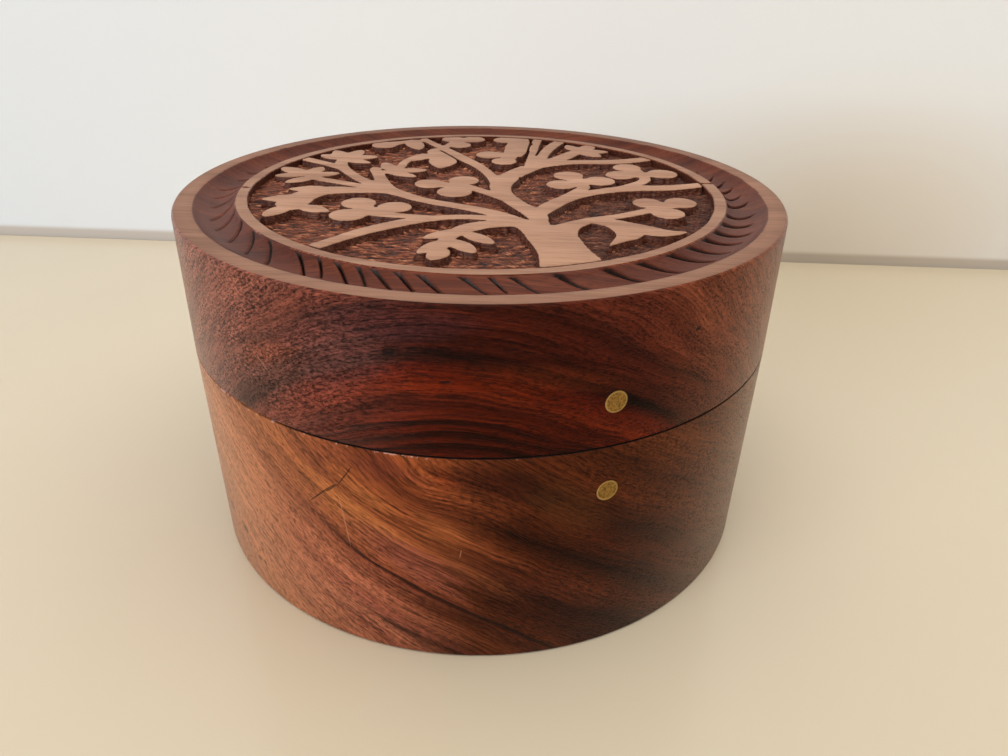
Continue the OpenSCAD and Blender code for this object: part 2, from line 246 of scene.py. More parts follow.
def tidy_normals(piece):
    only(piece)
    bpy.ops.object.mode_set(mode="EDIT")
    bpy.ops.mesh.select_all(action="SELECT")
    bpy.ops.mesh.remove_doubles(threshold=0.000002)
    bpy.ops.mesh.normals_make_consistent(inside=False)
    bpy.ops.object.mode_set(mode="OBJECT")


def smooth(piece, degrees=32):
    only(piece)
    bpy.ops.object.shade_smooth_by_angle(angle=math.radians(degrees))


def turn(piece, up, start, path):
    """Carry the end face of a turned blank on through each radius and height of the path."""
    middle, normal = face_facts(piece)
    side = 1 if up else -1
    pick_faces(piece, (normal[:, 2] * side > 0.9) & (np.abs(middle[:, 2] - start[1] * MM) < 1e-5))
    radius, height = start
    for r, z in path:
        bpy.ops.mesh.extrude_region_move(TRANSFORM_OT_translate={"value": (0, 0, (z - height) * MM)})
        k = r / radius
        bpy.ops.transform.resize(value=(k, k, 1), center_override=(0, 0, z * MM))
        radius, height = r, z
    bpy.ops.mesh.poke()
    bpy.ops.object.mode_set(mode="OBJECT")


def arc(cx, cz, r, start, end, steps):
    """Points of an arc in section, angles in degrees from outwards, without its first point."""
    turns = [math.radians(start + (end - start) * k / steps) for k in range(1, steps + 1)]
    return [(cx + r * math.cos(t), cz + r * math.sin(t)) for t in turns]


def drill(piece, radius, near, far, height):
    """Bore a hole into the front, between two radii at a height, all in millimetres."""
    bit = blank("drill", radius * MM, (far - near) * MM, (0, -(near + far) / 2 * MM, height * MM), 64, True)
    only(piece)
    cut = piece.modifiers.new("bore", "BOOLEAN")
    cut.operation = "DIFFERENCE"
    cut.solver = "EXACT"
    cut.object = bit
    bpy.ops.object.modifier_apply(modifier="bore")
    bpy.data.objects.remove(bit)


def wander(angle, seed, waves=9, start=3):
    """Slow hand-made wander round a circle, about -1 to 1."""
    rng = np.random.default_rng(seed)
    total = np.zeros_like(angle)
    for k in range(waves):
        total += rng.normal() * np.sin((start + 2 * k) * angle + rng.uniform(0, TAU)) / (1 + 0.35 * k)
    return total / 2.2


def cove_height(radius):
    """Height of the plain cove at a radius, in millimetres."""
    width = RIM_IN - RING_OUT
    bend = (width * width / 4 + COVE_DEPTH * COVE_DEPTH) / (2 * COVE_DEPTH)
    off = radius - (RIM_IN + RING_OUT) / 2
    return TOP_Z - COVE_DEPTH + bend - math.sqrt(bend * bend - off * off)


def keep_value(piece, name, values):
    """Store one number for each corner of the mesh, for a material to read."""
    layer = piece.data.attributes.new(name, "FLOAT", "POINT")
    layer.data.foreach_set("value", np.asarray(values, dtype=np.float32))


def grow(mask, reach):
    """Grow a mask by a disc of so many cells."""
    grown = mask.copy()
    for dy in range(-reach, reach + 1):
        for dx in range(-reach, reach + 1):
            if dx * dx + dy * dy <= (reach + 0.3) ** 2:
                grown |= np.roll(mask, (dy, dx), (0, 1))
    return grown


def soften(field, passes):
    """Blur a square grid of values."""
    for _ in range(passes):
        for axis in (0, 1):
            field = (np.roll(field, 1, axis) + 2 * field + np.roll(field, -1, axis)) / 4
    return field


def groove(count, start, end, half_width):
    """Mask of the grid's cells that lie near the line between two points."""
    y, x = np.mgrid[:count, :count] * FIELD_STEP - FIELD_HALF
    run = np.subtract(end, start)
    share = np.clip(((x - start[0]) * run[0] + (y - start[1]) * run[1]) / run.dot(run), 0, 1)
    return np.hypot(x - start[0] - share * run[0], y - start[1] - share * run[1]) < half_width


def tree_field(shape):
    """How far each cell of a grid belongs to the carved tree, 0 to 1, seen from above."""
    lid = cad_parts["lid_body"].data
    points, owner = np.empty(len(lid.vertices) * 3), np.empty(len(lid.loops), dtype=int)
    lid.vertices.foreach_get("co", points)
    lid.loops.foreach_get("vertex_index", owner)
    faces = points.reshape(-1, 3)[owner].reshape(-1, 3, 3) / MM
    middle = faces.mean(axis=1)
    top = np.abs(faces[:, :, 2] - TOP_Z).max(axis=1) < 0.01
    top &= np.hypot(middle[:, 0], middle[:, 1]) < RING_IN - 0.3
    count = round(2 * FIELD_HALF / FIELD_STEP) + 1
    mask = np.zeros((count, count), dtype=bool)
    for face in faces[top][:, :, :2]:
        low = np.floor((face.min(axis=0) + FIELD_HALF) / FIELD_STEP).astype(int)
        high = np.ceil((face.max(axis=0) + FIELD_HALF) / FIELD_STEP).astype(int) + 1
        y, x = np.mgrid[low[1]:high[1], low[0]:high[0]] * FIELD_STEP - FIELD_HALF
        inside = np.ones(x.shape, dtype=bool)
        for a, b in zip(face, np.roll(face, -1, axis=0)):
            inside &= (b[0] - a[0]) * (y - a[1]) - (b[1] - a[1]) * (x - a[0]) >= -1e-9
        mask[low[1]:high[1], low[0]:high[0]] |= inside
    # The knife leaves no sliver thinner than its edge and no slit that it can't enter
    reach = round(shape.knife_width / MM / FIELD_STEP / 2)
    mask = grow(~grow(~mask, reach // 2 + 1), reach // 2 + 1)
    mask = ~grow(~grow(mask | groove(count, *CLOSED_SLIT), reach), reach) & ~groove(count, *LEAF_GAP)
    return soften(mask.astype(float), 4)


def contours(field):
    """Closed lines along which a grid of values crosses one half, with the tree on their left."""
    inside = field > 0.5
    code = (inside[:-1, :-1] + 2 * inside[:-1, 1:] + 4 * inside[1:, 1:] + 8 * inside[1:, :-1]).astype(int)
    # Sides of a cell that the line enters and leaves by: bottom, right, top and left
    paths = {1: "bl", 2: "rb", 3: "rl", 4: "tr", 5: "bltr", 6: "tb", 7: "tl", 8: "lt", 9: "bt", 10: "rblt",
             11: "rt", 12: "lr", 13: "br", 14: "lb"}
    ahead = {}
    for i, j in zip(*np.nonzero((code > 0) & (code < 15))):
        sides = {"b": (0, i, j), "t": (0, i + 1, j), "l": (1, i, j), "r": (1, i, j + 1)}
        way = paths[code[i, j]]
        for enter, leave in zip(way[::2], way[1::2]):
            ahead[sides[enter]] = sides[leave]
    lines = []
    while ahead:
        key, line = next(iter(ahead)), []
        while key in ahead:
            upright, i, j = key
            one, two = field[i, j], field[i + 1, j] if upright else field[i, j + 1]
            share = (0.5 - one) / (two - one)
            line.append((j + (0 if upright else share), i + (share if upright else 0)))
            key = ahead.pop(key)
        lines.append(np.array(line) * FIELD_STEP - FIELD_HALF)
    return lines


def even(line, step, passes):
    """Smooth a closed line and space its points evenly."""
    for _ in range(passes):
        line = (np.roll(line, 1, axis=0) + 2 * line + np.roll(line, -1, axis=0)) / 4
    closed = np.vstack([line, line[:1]])
    run = np.concatenate([[0], np.cumsum(np.linalg.norm(np.diff(closed, axis=0), axis=1))])
    spots = np.linspace(0, run[-1], max(int(run[-1] / step), 8), endpoint=False)
    return np.column_stack([np.interp(spots, run, closed[:, k]) for k in (0, 1)])


def dress(piece, body, slot_name, *finishes):
    """Put a piece on its body and give it its finishes, by their names."""
    piece.data.materials.clear()
    for finish in finishes:
        piece.data.materials.append(bpy.data.materials[finish])
    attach(piece, body)


# ---------------------------------------------------------------- shader helpers

class Value:
    """A number or colour inside a shader; arithmetic on it adds the math nodes."""

    def __init__(self, socket):
        self.socket = socket
        self.tree = socket.id_data

    def __add__(self, other):
        return calc("ADD", self, other)

    def __sub__(self, other):
        return calc("SUBTRACT", self, other)

    def __rsub__(self, other):
        return calc("SUBTRACT", other, self)

    def __mul__(self, other):
        return calc("MULTIPLY", self, other)

    def __truediv__(self, other):
        return calc("DIVIDE", self, other)

    def __pow__(self, other):
        return calc("POWER", self, other)

    def __abs__(self):
        return calc("ABSOLUTE", self)


def feed(node, values):
    """Fill sockets of a node with values or links."""
    for key, value in values.items():
        if isinstance(value, Value):
            value.tree.links.new(value.socket, node.inputs[key])
        else:
            node.inputs[key].default_value = value


def put(tree, kind, values=None, **settings):
    """Add a node, set its properties and fill its sockets."""
    node = tree.nodes.new("ShaderNode" + kind)
    for key, value in settings.items():
        setattr(node, key, value)
    feed(node, values or {})
    return node


def read(tree, kind, values=None, output=0, **settings):
    """Add a node and hand on one of its outputs."""
    return Value(put(tree, kind, values, **settings).outputs[output])


def calc(operation, *values):
    tree = next(v.tree for v in values if isinstance(v, Value))
    return read(tree, "Math", dict(enumerate(values)), operation=operation)


def point(x, y, z=0.0):
    return read(x.tree, "CombineXYZ", {0: x, 1: y, 2: z})


def fit(value, low, high, to_low=0.0, to_high=1.0, kind="SMOOTHSTEP"):
    return read(value.tree, "MapRange", {"Value": value, "From Min": low, "From Max": high, "To Min": to_low,
                                         "To Max": to_high}, "Result", interpolation_type=kind)


def toward_side(axes, start, full, low, high):
    """A value that goes from low to high round the side of the box, and back to low behind it."""
    end = math.copysign(1.0, full - start)
    return fit(axes.round, start, full) * fit(axes.round, end * TINT_END, end * TINT_FADES) * (high - low) + low


def blend(tree, factor, one, two, kind="MIX"):
    return read(tree, "Mix", {0: factor, 6: one, 7: two}, 2, data_type="RGBA", blend_type=kind, clamp_factor=True)


def noise(vector, scale=1.0, detail=3.0, rough=0.5, twist=0.0):
    return read(vector.tree, "TexNoise", {"Vector": vector, "Scale": scale, "Detail": detail, "Roughness": rough,
                                          "Distortion": twist})


def ramp(value, stops):
    node = put(value.tree, "ValToRGB", {"Fac": value})
    points = node.color_ramp.elements
    while len(points) > 1:
        points.remove(points[-1])
    points[0].position, points[0].color = stops[0]
    for place, colour in stops[1:]:
        points.new(place).color = colour
    return Value(node.outputs["Color"])


def wood_ramp(layer, low, high, colours):
    """Colour of each growth layer between two layers."""
    return ramp(fit(layer, low, high, kind="LINEAR"), [((at - low) / (high - low), paint(*c)) for at, c in colours])


class Outlets:
    """The outputs of a node, by their names in small letters."""

    def __init__(self, node):
        for socket in node.outputs:
            if socket.name:
                setattr(self, socket.name.lower(), Value(socket))


def group(name, ins, outs):
    """An empty node group with its inputs, named with their defaults, and a function that fills its outputs."""
    tree = bpy.data.node_groups.new(name, "ShaderNodeTree")
    for label, default in ins.items():
        tree.interface.new_socket(name=label, in_out="INPUT", socket_type="NodeSocketFloat").default_value = default
    for label in outs:
        tree.interface.new_socket(name=label, in_out="OUTPUT", socket_type="NodeSocketFloat")
    given, asked = tree.nodes.new("NodeGroupInput"), tree.nodes.new("NodeGroupOutput")
    return tree, Outlets(given), lambda *values: feed(asked, dict(zip(outs, values)))


def use(tree, which, **values):
    """Use a node group: its inputs are given by name, and its outputs come back by name."""
    node = tree.nodes.new("ShaderNodeGroup")
    node.node_tree = bpy.data.node_groups[which]
    feed(node, values)
    return Outlets(node)


def material(name):
    """A new material's node tree and its shader, with nothing yet fed into it."""
    made = bpy.data.materials.new(name)
    made.use_nodes = True
    return made.node_tree, made.node_tree.nodes["Principled BSDF"]


def bump(height, strength, distance):
    return read(height.tree, "Bump", {"Height": height, "Strength": strength, "Distance": distance}, "Normal")


def object_place(tree):
    return read(tree, "TexCoord", output="Object")


def stored(tree, name):
    """A number that a piece keeps for each corner of its mesh."""
    return read(tree, "Attribute", output="Fac", attribute_name=name)


# ---------------------------------------------------------------- shared node groups

def make_timber_axes():
    """Position in the timber's own axes, in millimetres: along the fibres, outwards, up, and round."""
    tree, _, give = group("timber axes", {}, ("Along", "Outward", "Up", "Round", "Radius"))
    split = put(tree, "SeparateXYZ", {0: object_place(tree)})
    x, y, z = (Value(socket) * 1000.0 for socket in split.outputs)
    give(x * ALONG[0] + y * ALONG[1], x * OUTWARD[0] + y * OUTWARD[1], z,
         calc("ARCTAN2", x, y * -1.0) * BOX_R, calc("SQRT", x * x + y * y))


def make_grain():
    """Fine lines, pores and fibres of rosewood that follow its growth layers."""
    _, given, give = group("rosewood grain", {"Along": 0.0, "Layer": 0.0, "Depth": 0.0},
                           ("Lines", "Bands", "Pores", "Fibres", "Speckle"))

    def stretched(along, layer, depth):
        return point(given.along * along, given.layer * layer, given.depth * depth)

    lines = noise(stretched(0.026, 1.5, 0.16), 1.0, 5.0, 0.64, 0.35)
    bands = noise(stretched(0.012, 0.16, 0.03), 1.0, 3.0, 0.55, 0.5)
    cells = noise(stretched(0.13, 1.7, 1.7), 1.0, 2.0, 0.45, 0.3)
    clumps = noise(stretched(0.03, 0.3, 0.1), 1.0, 2.0)
    fibres = noise(stretched(0.2, 2.6, 2.6), 1.0, 3.0, 0.62)
    ripple = noise(stretched(0.8, 1.5, 1.5), 1.0, 2.0, 0.55, 0.5)
    patchy = fit(noise(stretched(0.03, 0.05, 0.05), 1.0, 1.0), 0.36, 0.56, 0.35, 1.0)
    give(lines, bands, fit(cells + clumps * 0.3, 0.68, 0.78), fibres, (ripple - 0.5) * patchy + 0.5)


def make_mark():
    """Mask of one mark on the side of the box, at a place in millimetres round it and up it."""
    _, given, give = group("side mark", {"Round": 0.0, "Up": 0.0, "At": 0.0, "Height": 0.0, "Length": 2.0,
                                         "Width": 0.3, "Turn": 0.0, "Soft": 0.0}, ("Mask",))
    r, u = given.round - given.at, given.up - given.height
    c, s = (calc(kind, given.turn) for kind in ("COSINE", "SINE"))
    along, across = r * c + u * s, u * c - r * s
    far = (abs(along) / given.length) ** 2.0 + (abs(across) / given.width) ** 2.0
    give(fit(far, 1.3, 0.5 - given.soft * 0.5))


def mark(tree, round_mm, up_mm, degrees, up, length, width, turned, soft=0.0):
    """Mask of a mark: angle in degrees, height, half length and half width in mm, turn in degrees."""
    return use(tree, "side mark", Round=round_mm, Up=up_mm, At=math.radians(degrees) * BOX_R, Height=up,
               Length=length, Width=width, Turn=math.radians(turned), Soft=soft).mask


def any_mark(tree, axes, marks):
    """The strongest of several marks."""
    total, *others = [mark(tree, axes.round, axes.up, *place) for place in marks]
    for other in others:
        total = calc("MAXIMUM", total, other)
    return total


# ---------------------------------------------------------------- wood

# Colours of the growth layers: layer in mm, and colour
LID_RAMP = [
    (50, (30, 7, 3)), (56.3, (74, 20, 6)), (57.4, (16, 4, 2)), (58.8, (78, 22, 7)), (60.2, (20, 5, 2)),
    (61.5, (82, 23, 7)), (62.5, (18, 5, 3)), (64.0, (88, 26, 8)), (66.5, (62, 15, 4)), (69, (108, 35, 11)),
    (71.5, (94, 27, 8)), (74.0, (76, 20, 7)), (75.2, (48, 12, 5)), (76.2, (15, 4, 3)), (77.0, (17, 5, 4)),
    (78.0, (46, 13, 7)), (79.2, (52, 15, 8)), (80.2, (26, 8, 5)), (82.0, (58, 18, 10)), (85, (78, 28, 16)),
    (88, (54, 19, 12)), (93, (104, 47, 31)), (98, (84, 36, 24)), (106, (124, 64, 44)), (112, (98, 46, 31)),
    (122, (132, 70, 48)), (135, (110, 54, 36)), (150, (96, 48, 33)),
]
BASE_RAMP = [
    (-20, (124, 64, 38)), (-8, (158, 92, 58)), (0, (118, 60, 38)), (4, (158, 92, 64)), (8, (132, 70, 50)),
    (12, (160, 94, 68)), (17, (136, 72, 54)), (22, (160, 92, 66)), (26.5, (134, 72, 50)), (31, (118, 58, 38)),
    (35, (146, 80, 48)), (39, (118, 60, 35)), (43, (152, 84, 48)), (48, (122, 62, 34)), (54, (144, 76, 42)),
    (60, (106, 50, 26)), (67, (140, 72, 38)), (80, (120, 60, 32)), (110, (124, 62, 34)), (140, (96, 46, 24)),
]
BASE_DARK_RAMP = [
    (-20, (60, 22, 9)), (0, (54, 20, 7)), (8, (92, 42, 18)), (16, (46, 15, 5)), (22, (92, 42, 17)),
    (28, (62, 25, 9)), (32, (74, 31, 11)), (38, (56, 21, 7)), (46, (44, 15, 5)),
    (54, (78, 33, 12)), (60, (36, 11, 3)), (67, (72, 29, 10)), (74, (44, 15, 5)), (82, (86, 39, 16)),
    (90, (66, 28, 10)), (99, (96, 46, 20)), (110, (82, 38, 16)), (125, (98, 48, 23)), (140, (84, 42, 20)),
]
# How far the base's layers drop along the fibres, both in mm
BASE_CURVE = [(-75, 82), (-70, 74), (-60, 61), (-49.3, 50), (-32.2, 35.5), (-15, 24.2), (2.5, 14.2), (20.9, 1.7),
              (35, -9), (50, -21), (60, -30), (68, -39), (75, -50)]
CREST_LAYER = 30.4

# Tinted places on the sides: colour, strength, angle, height, half length, half width and turn
LID_PATCHES = [
    ((44, 26, 24), 0.6, -60, 60, 12, 3.6, 24), ((132, 72, 52), 0.4, -55, 72, 10, 3, 22),
    ((64, 34, 36), 0.5, -32, 84, 18, 4, 4), ((112, 46, 20), 0.3, -10, 72, 22, 4, -8),
    # The last lid patch, pale and pinkish left of the front, is a painted sheen
    ((104, 64, 60), 0.35, -42, 76, 12, 8, 20),
]
BASE_PATCHES = [
    ((186, 120, 80), 0.5, -72, 36, 26, 16, -50), ((176, 106, 58), 0.6, -42, 40, 14, 5.5, -38),
    ((110, 52, 38), 0.5, -40, 51, 16, 3.5, -8), ((134, 72, 58), 0.6, -33, 27, 17, 4.2, -36),
    ((152, 86, 46), 0.5, -27, 37, 7, 4, -30), ((52, 19, 9), 0.8, -19, 49.5, 11, 5.5, -12),
    ((110, 46, 22), 0.6, -26, 50, 4, 3.5, 30), ((164, 100, 76), 0.45, -58, 14, 22, 10, -38),
    ((26, 12, 7), 0.6, -11, 44.5, 5, 2.2, -35), ((110, 62, 30), 0.3, -5, 42, 12, 8, -30),
    ((92, 42, 24), 0.4, -12, 20, 22, 3.5, -28),
]
# Pits, cracks and scratches: angle, height, half length, half width and turn
LID_PITS = [(30.5, 66, 0.9, 0.35, -20), (34.5, 78.5, 0.8, 0.45, -40), (29, 72.6, 0.55, 0.5, 0),
            (-25.5, 72.4, 1.1, 0.35, 8), (14, 77.6, 0.8, 0.5, 10), (-33.5, 77.8, 1.3, 0.8, 0)]
LID_SCRATCHES = [(-56.2, 68.7, 2.3, 0.17, -45)]
BASE_CRACKS = [(-47.4, 40.8, 4.6, 0.22, 44), (-45.2, 43.2, 2.2, 0.34, 42), (-42.4, 47.2, 3.8, 0.16, 56),
               (-79, 16, 1.8, 1.3, 10), (-72.5, 14, 1.5, 1.0, 0), (-68, 8.5, 0.9, 0.7, 0), (-66, 8.8, 0.7, 0.6, 0)]
BASE_SCRATCHES = [(-43.2, 35, 6.6, 0.22, 97), (-43.7, 40, 1.6, 0.12, 95), (-23.7, 31, 1.2, 0.15, 80)]
# Dark lines across the base: layer, where each starts and ends round the side, and half width, all in mm
BASE_LINES = [(CREST_LAYER, -66.0, 24.0, 0.9), (14.0, -60.0, -34.0, 0.7)]


def shaded(tree, colour, grain, lines, speckle):
    """Lighten and darken a wood colour by its fine grain."""
    tone = (grain.lines - 0.5) * lines + (grain.speckle - 0.5) * speckle + (grain.fibres - 0.5) * 1.3
    tone = calc("MAXIMUM", tone + 1.0, 0.25)
    return blend(tree, 1.0, colour, read(tree, "CombineColor", {0: tone, 1: tone, 2: tone}), "MULTIPLY")


def lid_layers(tree):
    """Axes and growth layers of the lid's timber; a layer is its height at the crest of the front."""
    axes = use(tree, "timber axes")
    drift = (noise(point(axes.along * 0.018, axes.outward * 0.03, axes.up * 0.05), 1.0, 2.0) - 0.5) * 9.0
    layer = axes.up + (BOX_R - axes.outward) * 1.31 + drift
    depth = axes.up * 0.79 + axes.outward * 0.61
    return axes, layer, use(tree, "rosewood grain", Along=axes.along, Layer=layer, Depth=depth)


def base_layers(tree):
    """Axes and growth layers of the base's timber; a layer is its height left of the front."""
    axes = use(tree, "timber axes")
    curve = put(tree, "FloatCurve", {"Value": fit(axes.along, -75.0, 75.0, kind="LINEAR")})
    line = curve.mapping.curves[0]
    low, high = -60.0, 90.0
    points = [((along + 75) / 150, (drop - low) / (high - low)) for along, drop in BASE_CURVE]
    line.points[0].location, line.points[1].location = points[0], points[-1]
    for place in points[1:-1]:
        line.points.new(*place)
    curve.mapping.update()
    drop = Value(curve.outputs[0]) * (high - low) + (low - CREST_LAYER)
    coarse = point(axes.along * 0.03, axes.outward * 0.03, axes.up * 0.05)
    drift = (noise(coarse, 1.0, 2.0, 0.5, 0.3) - 0.5) * 6.0
    # The knot left of the front swells the layers round it
    knot = calc("EXPONENT", ((abs(axes.along + 9.0) / 13.0) ** 2.0 + (abs(axes.up - 47.0) / 8.0) ** 2.0) * -1.0)
    layer = axes.up + drift - drop + knot * 5.0
    return axes, layer, use(tree, "rosewood grain", Along=axes.along, Layer=layer, Depth=axes.outward)


def patches(tree, axes, grain, colour, places):
    """Tint soft-edged places on the side; their edges follow the grain."""
    sway = (grain.bands - 0.5) * 26.0
    swayed = axes.round + sway, axes.up + sway * 0.4
    for tint, strength, *place in places:
        colour = blend(tree, mark(tree, *swayed, *place, 1.0) * strength, colour, paint(*tint))
    return colour


def seam_darkening(tree, axes, colour):
    """Darken the eased edges of the seam, less so on the left side."""
    much = fit(abs(axes.up - SEAM_Z), 0.34, 0.16) * toward_side(axes, -62.0, -84.0, 1.0, 0.25)
    return blend(tree, much, colour, paint(16, 8, 6))


def lacquer(tree, shader, colour, grain, height):
    """Thin oil finish: little gloss seen straight on, and a soft shine where the surface turns away."""
    gloss = bpy.context.scene.rosary_finish.lacquer_roughness
    rough = fit(grain.fibres, 0.2, 0.8, gloss - 0.04, gloss + 0.1, kind="LINEAR") + grain.pores * 0.2
    facing = read(tree, "LayerWeight", {"Blend": 0.5}, "Facing")
    feed(shader, {"Base Color": colour, "Roughness": rough, "Specular IOR Level": 0.06, "Coat Roughness": 0.3,
                  "Coat Weight": fit(facing, 0.3, 0.85, 0.0, 0.5), "Coat IOR": 1.45,
                  "Normal": bump(height, 0.6, 0.0001)})


def make_lid_side():
    tree, shader = material("lacquered lid wood")
    axes, layer, grain = lid_layers(tree)
    colour = wood_ramp(layer + (grain.lines - 0.5) * 4.5, 50, 150, LID_RAMP)
    # The dark bands fade here and there
    colour = blend(tree, fit(grain.bands, 0.46, 0.7, 0.0, 0.55), colour, paint(80, 29, 16))
    # Darkest left of the front: darker wood there, and painted shade where the front faces the dark near side of the
    # room
    colour = blend(tree, fit(abs(axes.round + 18.0), 26.0, 8.0, 0.0, 0.36), colour, paint(36, 7, 2))
    # Painted sheen: the left side is paler and pinker and the right side browner, partly the wood's tone and partly the
    # shine of the sides that catch the room's light
    colour = blend(tree, toward_side(axes, -34.0, -92.0, 0.0, 0.44), colour, paint(150, 100, 88))
    colour = blend(tree, toward_side(axes, 2.0, 48.0, 0.0, 0.56), colour, paint(138, 78, 46))
    colour = patches(tree, axes, grain, colour, LID_PATCHES)
    # The grain's speckle grows stronger towards the left: partly the end grain there, partly painted glints of its
    # sheen
    colour = shaded(tree, colour, grain, 2.8, toward_side(axes, -18.0, -62.0, 1.4, 4.4))
    colour = blend(tree, grain.pores * 0.5, colour, paint(24, 8, 5))
    pits = any_mark(tree, axes, LID_PITS)
    colour = blend(tree, pits * 0.75, colour, paint(24, 12, 10))
    colour = blend(tree, any_mark(tree, axes, LID_SCRATCHES) * 0.4, colour, paint(172, 130, 116))
    lacquer(tree, shader, seam_darkening(tree, axes, colour), grain,
            grain.fibres + grain.speckle * 2.5 - (grain.pores + pits * 2.0))


def make_base_wood():
    tree, shader = material("lacquered base wood")
    axes, layer, grain = base_layers(tree)
    wobbly = layer + (grain.lines - 0.5) * 6.0
    # Sapwood side to the left, heartwood to the right, parted by slanting edges
    edge = axes.round + axes.up * -0.35 + (grain.bands - 0.5) * 50.0
    colour = blend(tree, fit(abs(edge - 52.0), 114.0, 78.0), wood_ramp(wobbly, -20, 140, BASE_RAMP),
                   wood_ramp(wobbly, -20, 140, BASE_DARK_RAMP))
    colour = patches(tree, axes, grain, colour, BASE_PATCHES)
    # Painted sheen: the left side is paler and the right side browner, partly the wood's tone and partly a painted warm
    # shine where the sides catch the room's light
    colour = blend(tree, toward_side(axes, -46.0, -96.0, 0.0, 0.5), colour, paint(186, 122, 82))
    colour = blend(tree, toward_side(axes, 4.0, 60.0, 0.0, 0.68), colour, paint(124, 68, 26))
    ragged = layer + (grain.lines - 0.5) * 2.5
    for at, first, last, half in BASE_LINES:
        shown = fit(axes.round, first, first + 14.0) * fit(axes.round, last, last - 14.0)
        colour = blend(tree, fit(abs(ragged - at), half, half * 0.3) * shown * 0.85, colour, paint(24, 9, 5))
    colour = shaded(tree, colour, grain, 2.4, toward_side(axes, -50.0, -90.0, 2.2, 0.9))
    colour = blend(tree, grain.pores * 0.45, colour, paint(28, 11, 6))
    cracks = any_mark(tree, axes, BASE_CRACKS)
    colour = blend(tree, cracks * 0.7, colour, paint(38, 20, 15))
    colour = blend(tree, any_mark(tree, axes, BASE_SCRATCHES) * 0.4, colour, paint(190, 128, 100))
    # Small chips along the upper edge, left of the front
    chips = fit(noise(point(axes.round, axes.up), 0.55, 2.0, 0.6), 0.56, 0.62)
    chips = chips * fit(axes.up, SEAM_Z - 0.85, SEAM_Z - 0.3) * fit(axes.round, -12.0, -40.0)
    chips = chips * fit(axes.radius, 73.0, 74.0)
    colour = blend(tree, chips * 0.75, colour, paint(206, 158, 148))
    lacquer(tree, shader, seam_darkening(tree, axes, colour), grain,
            grain.fibres + grain.speckle * 2.0 - (grain.pores + cracks * 2.0))


def make_carved_face():
    """Flat faces left by the carver: sanded, pale and dusty."""
    tree, shader = material("sanded carved faces")
    axes, _, grain = lid_layers(tree)
    colour = ramp(grain.bands * 0.6 + grain.lines * 0.4, [
        (0.3, paint(140, 98, 76)), (0.5, paint(172, 130, 105)), (0.7, paint(194, 152, 126))])
    colour = blend(tree, grain.pores * 0.3, colour, paint(112, 72, 54))
    # Handling has browned the ring, and the rim still more
    age = ramp(axes.radius / 80.0, [(radius / 80, (*shade, 1)) for radius, shade in (
        (57.6, (0.95, 0.93, 0.93)), (58.1, (0.74, 0.7, 0.7)), (61, (0.74, 0.7, 0.7)), (70, (0.6, 0.52, 0.49)),
        (72, (0.64, 0.56, 0.53)), (74.6, (0.56, 0.48, 0.46)))])
    colour = blend(tree, 1.0, colour, age, "MULTIPLY")
    # Painted shade: the far side of the carved faces is darker, most on the rim, where it lies in shade
    far = fit(axes.radius, 54.0, 72.0, 0.25, 0.5) * fit(axes.outward, -10.0, -66.0)
    planed = noise(point(axes.along * 0.25, axes.outward * 1.9), 1.0, 3.0, 0.6)
    feed(shader, {"Base Color": blend(tree, far, colour, paint(92, 58, 46)), "Roughness": 0.62,
                  "Specular IOR Level": 0.4, "Normal": bump(planed + grain.fibres, 0.35, 0.00012)})


def make_cove_wood():
    """The cove: rubbed darker than the faces, with painted shade in its cuts, darkest along their sharp lines."""
    tree, shader = material("waxed cove")
    _, _, grain = lid_layers(tree)
    colour = ramp(grain.bands * 0.55 + grain.lines * 0.45, [
        (0.3, paint(60, 22, 12)), (0.5, paint(92, 40, 24)), (0.7, paint(122, 62, 38))])
    # Painted shade: darker in the hollows of the gouge cuts, darkest along their sharp lines
    colour = blend(tree, stored(tree, "scoop") * 0.45, colour, paint(58, 26, 18))
    colour = blend(tree, fit(stored(tree, "cut_shade"), 0.25, 0.8), colour, paint(22, 9, 7))
    colour = blend(tree, grain.pores * 0.4, colour, paint(40, 18, 13))
    feed(shader, {"Base Color": colour, "Roughness": 0.45, "Specular IOR Level": 0.2,
                  "Normal": bump(grain.fibres, 0.3, 0.0001)})


def make_cut_wall():
    """Walls left by the chisel: dark, with a faint burnished sheen."""
    tree, shader = material("chiselled walls")
    _, _, grain = lid_layers(tree)
    colour = ramp(grain.fibres, [(0.3, paint(36, 15, 11)), (0.5, paint(74, 36, 25)), (0.7, paint(124, 74, 54))])
    flutes = noise(read(tree, "Mapping", {"Vector": object_place(tree), "Scale": (1700, 1700, 120)}), 1.0, 2.0)
    feed(shader, {"Base Color": colour, "Roughness": 0.5, "Specular IOR Level": 0.2,
                  "Normal": bump(flutes, 0.7, 0.0003)})


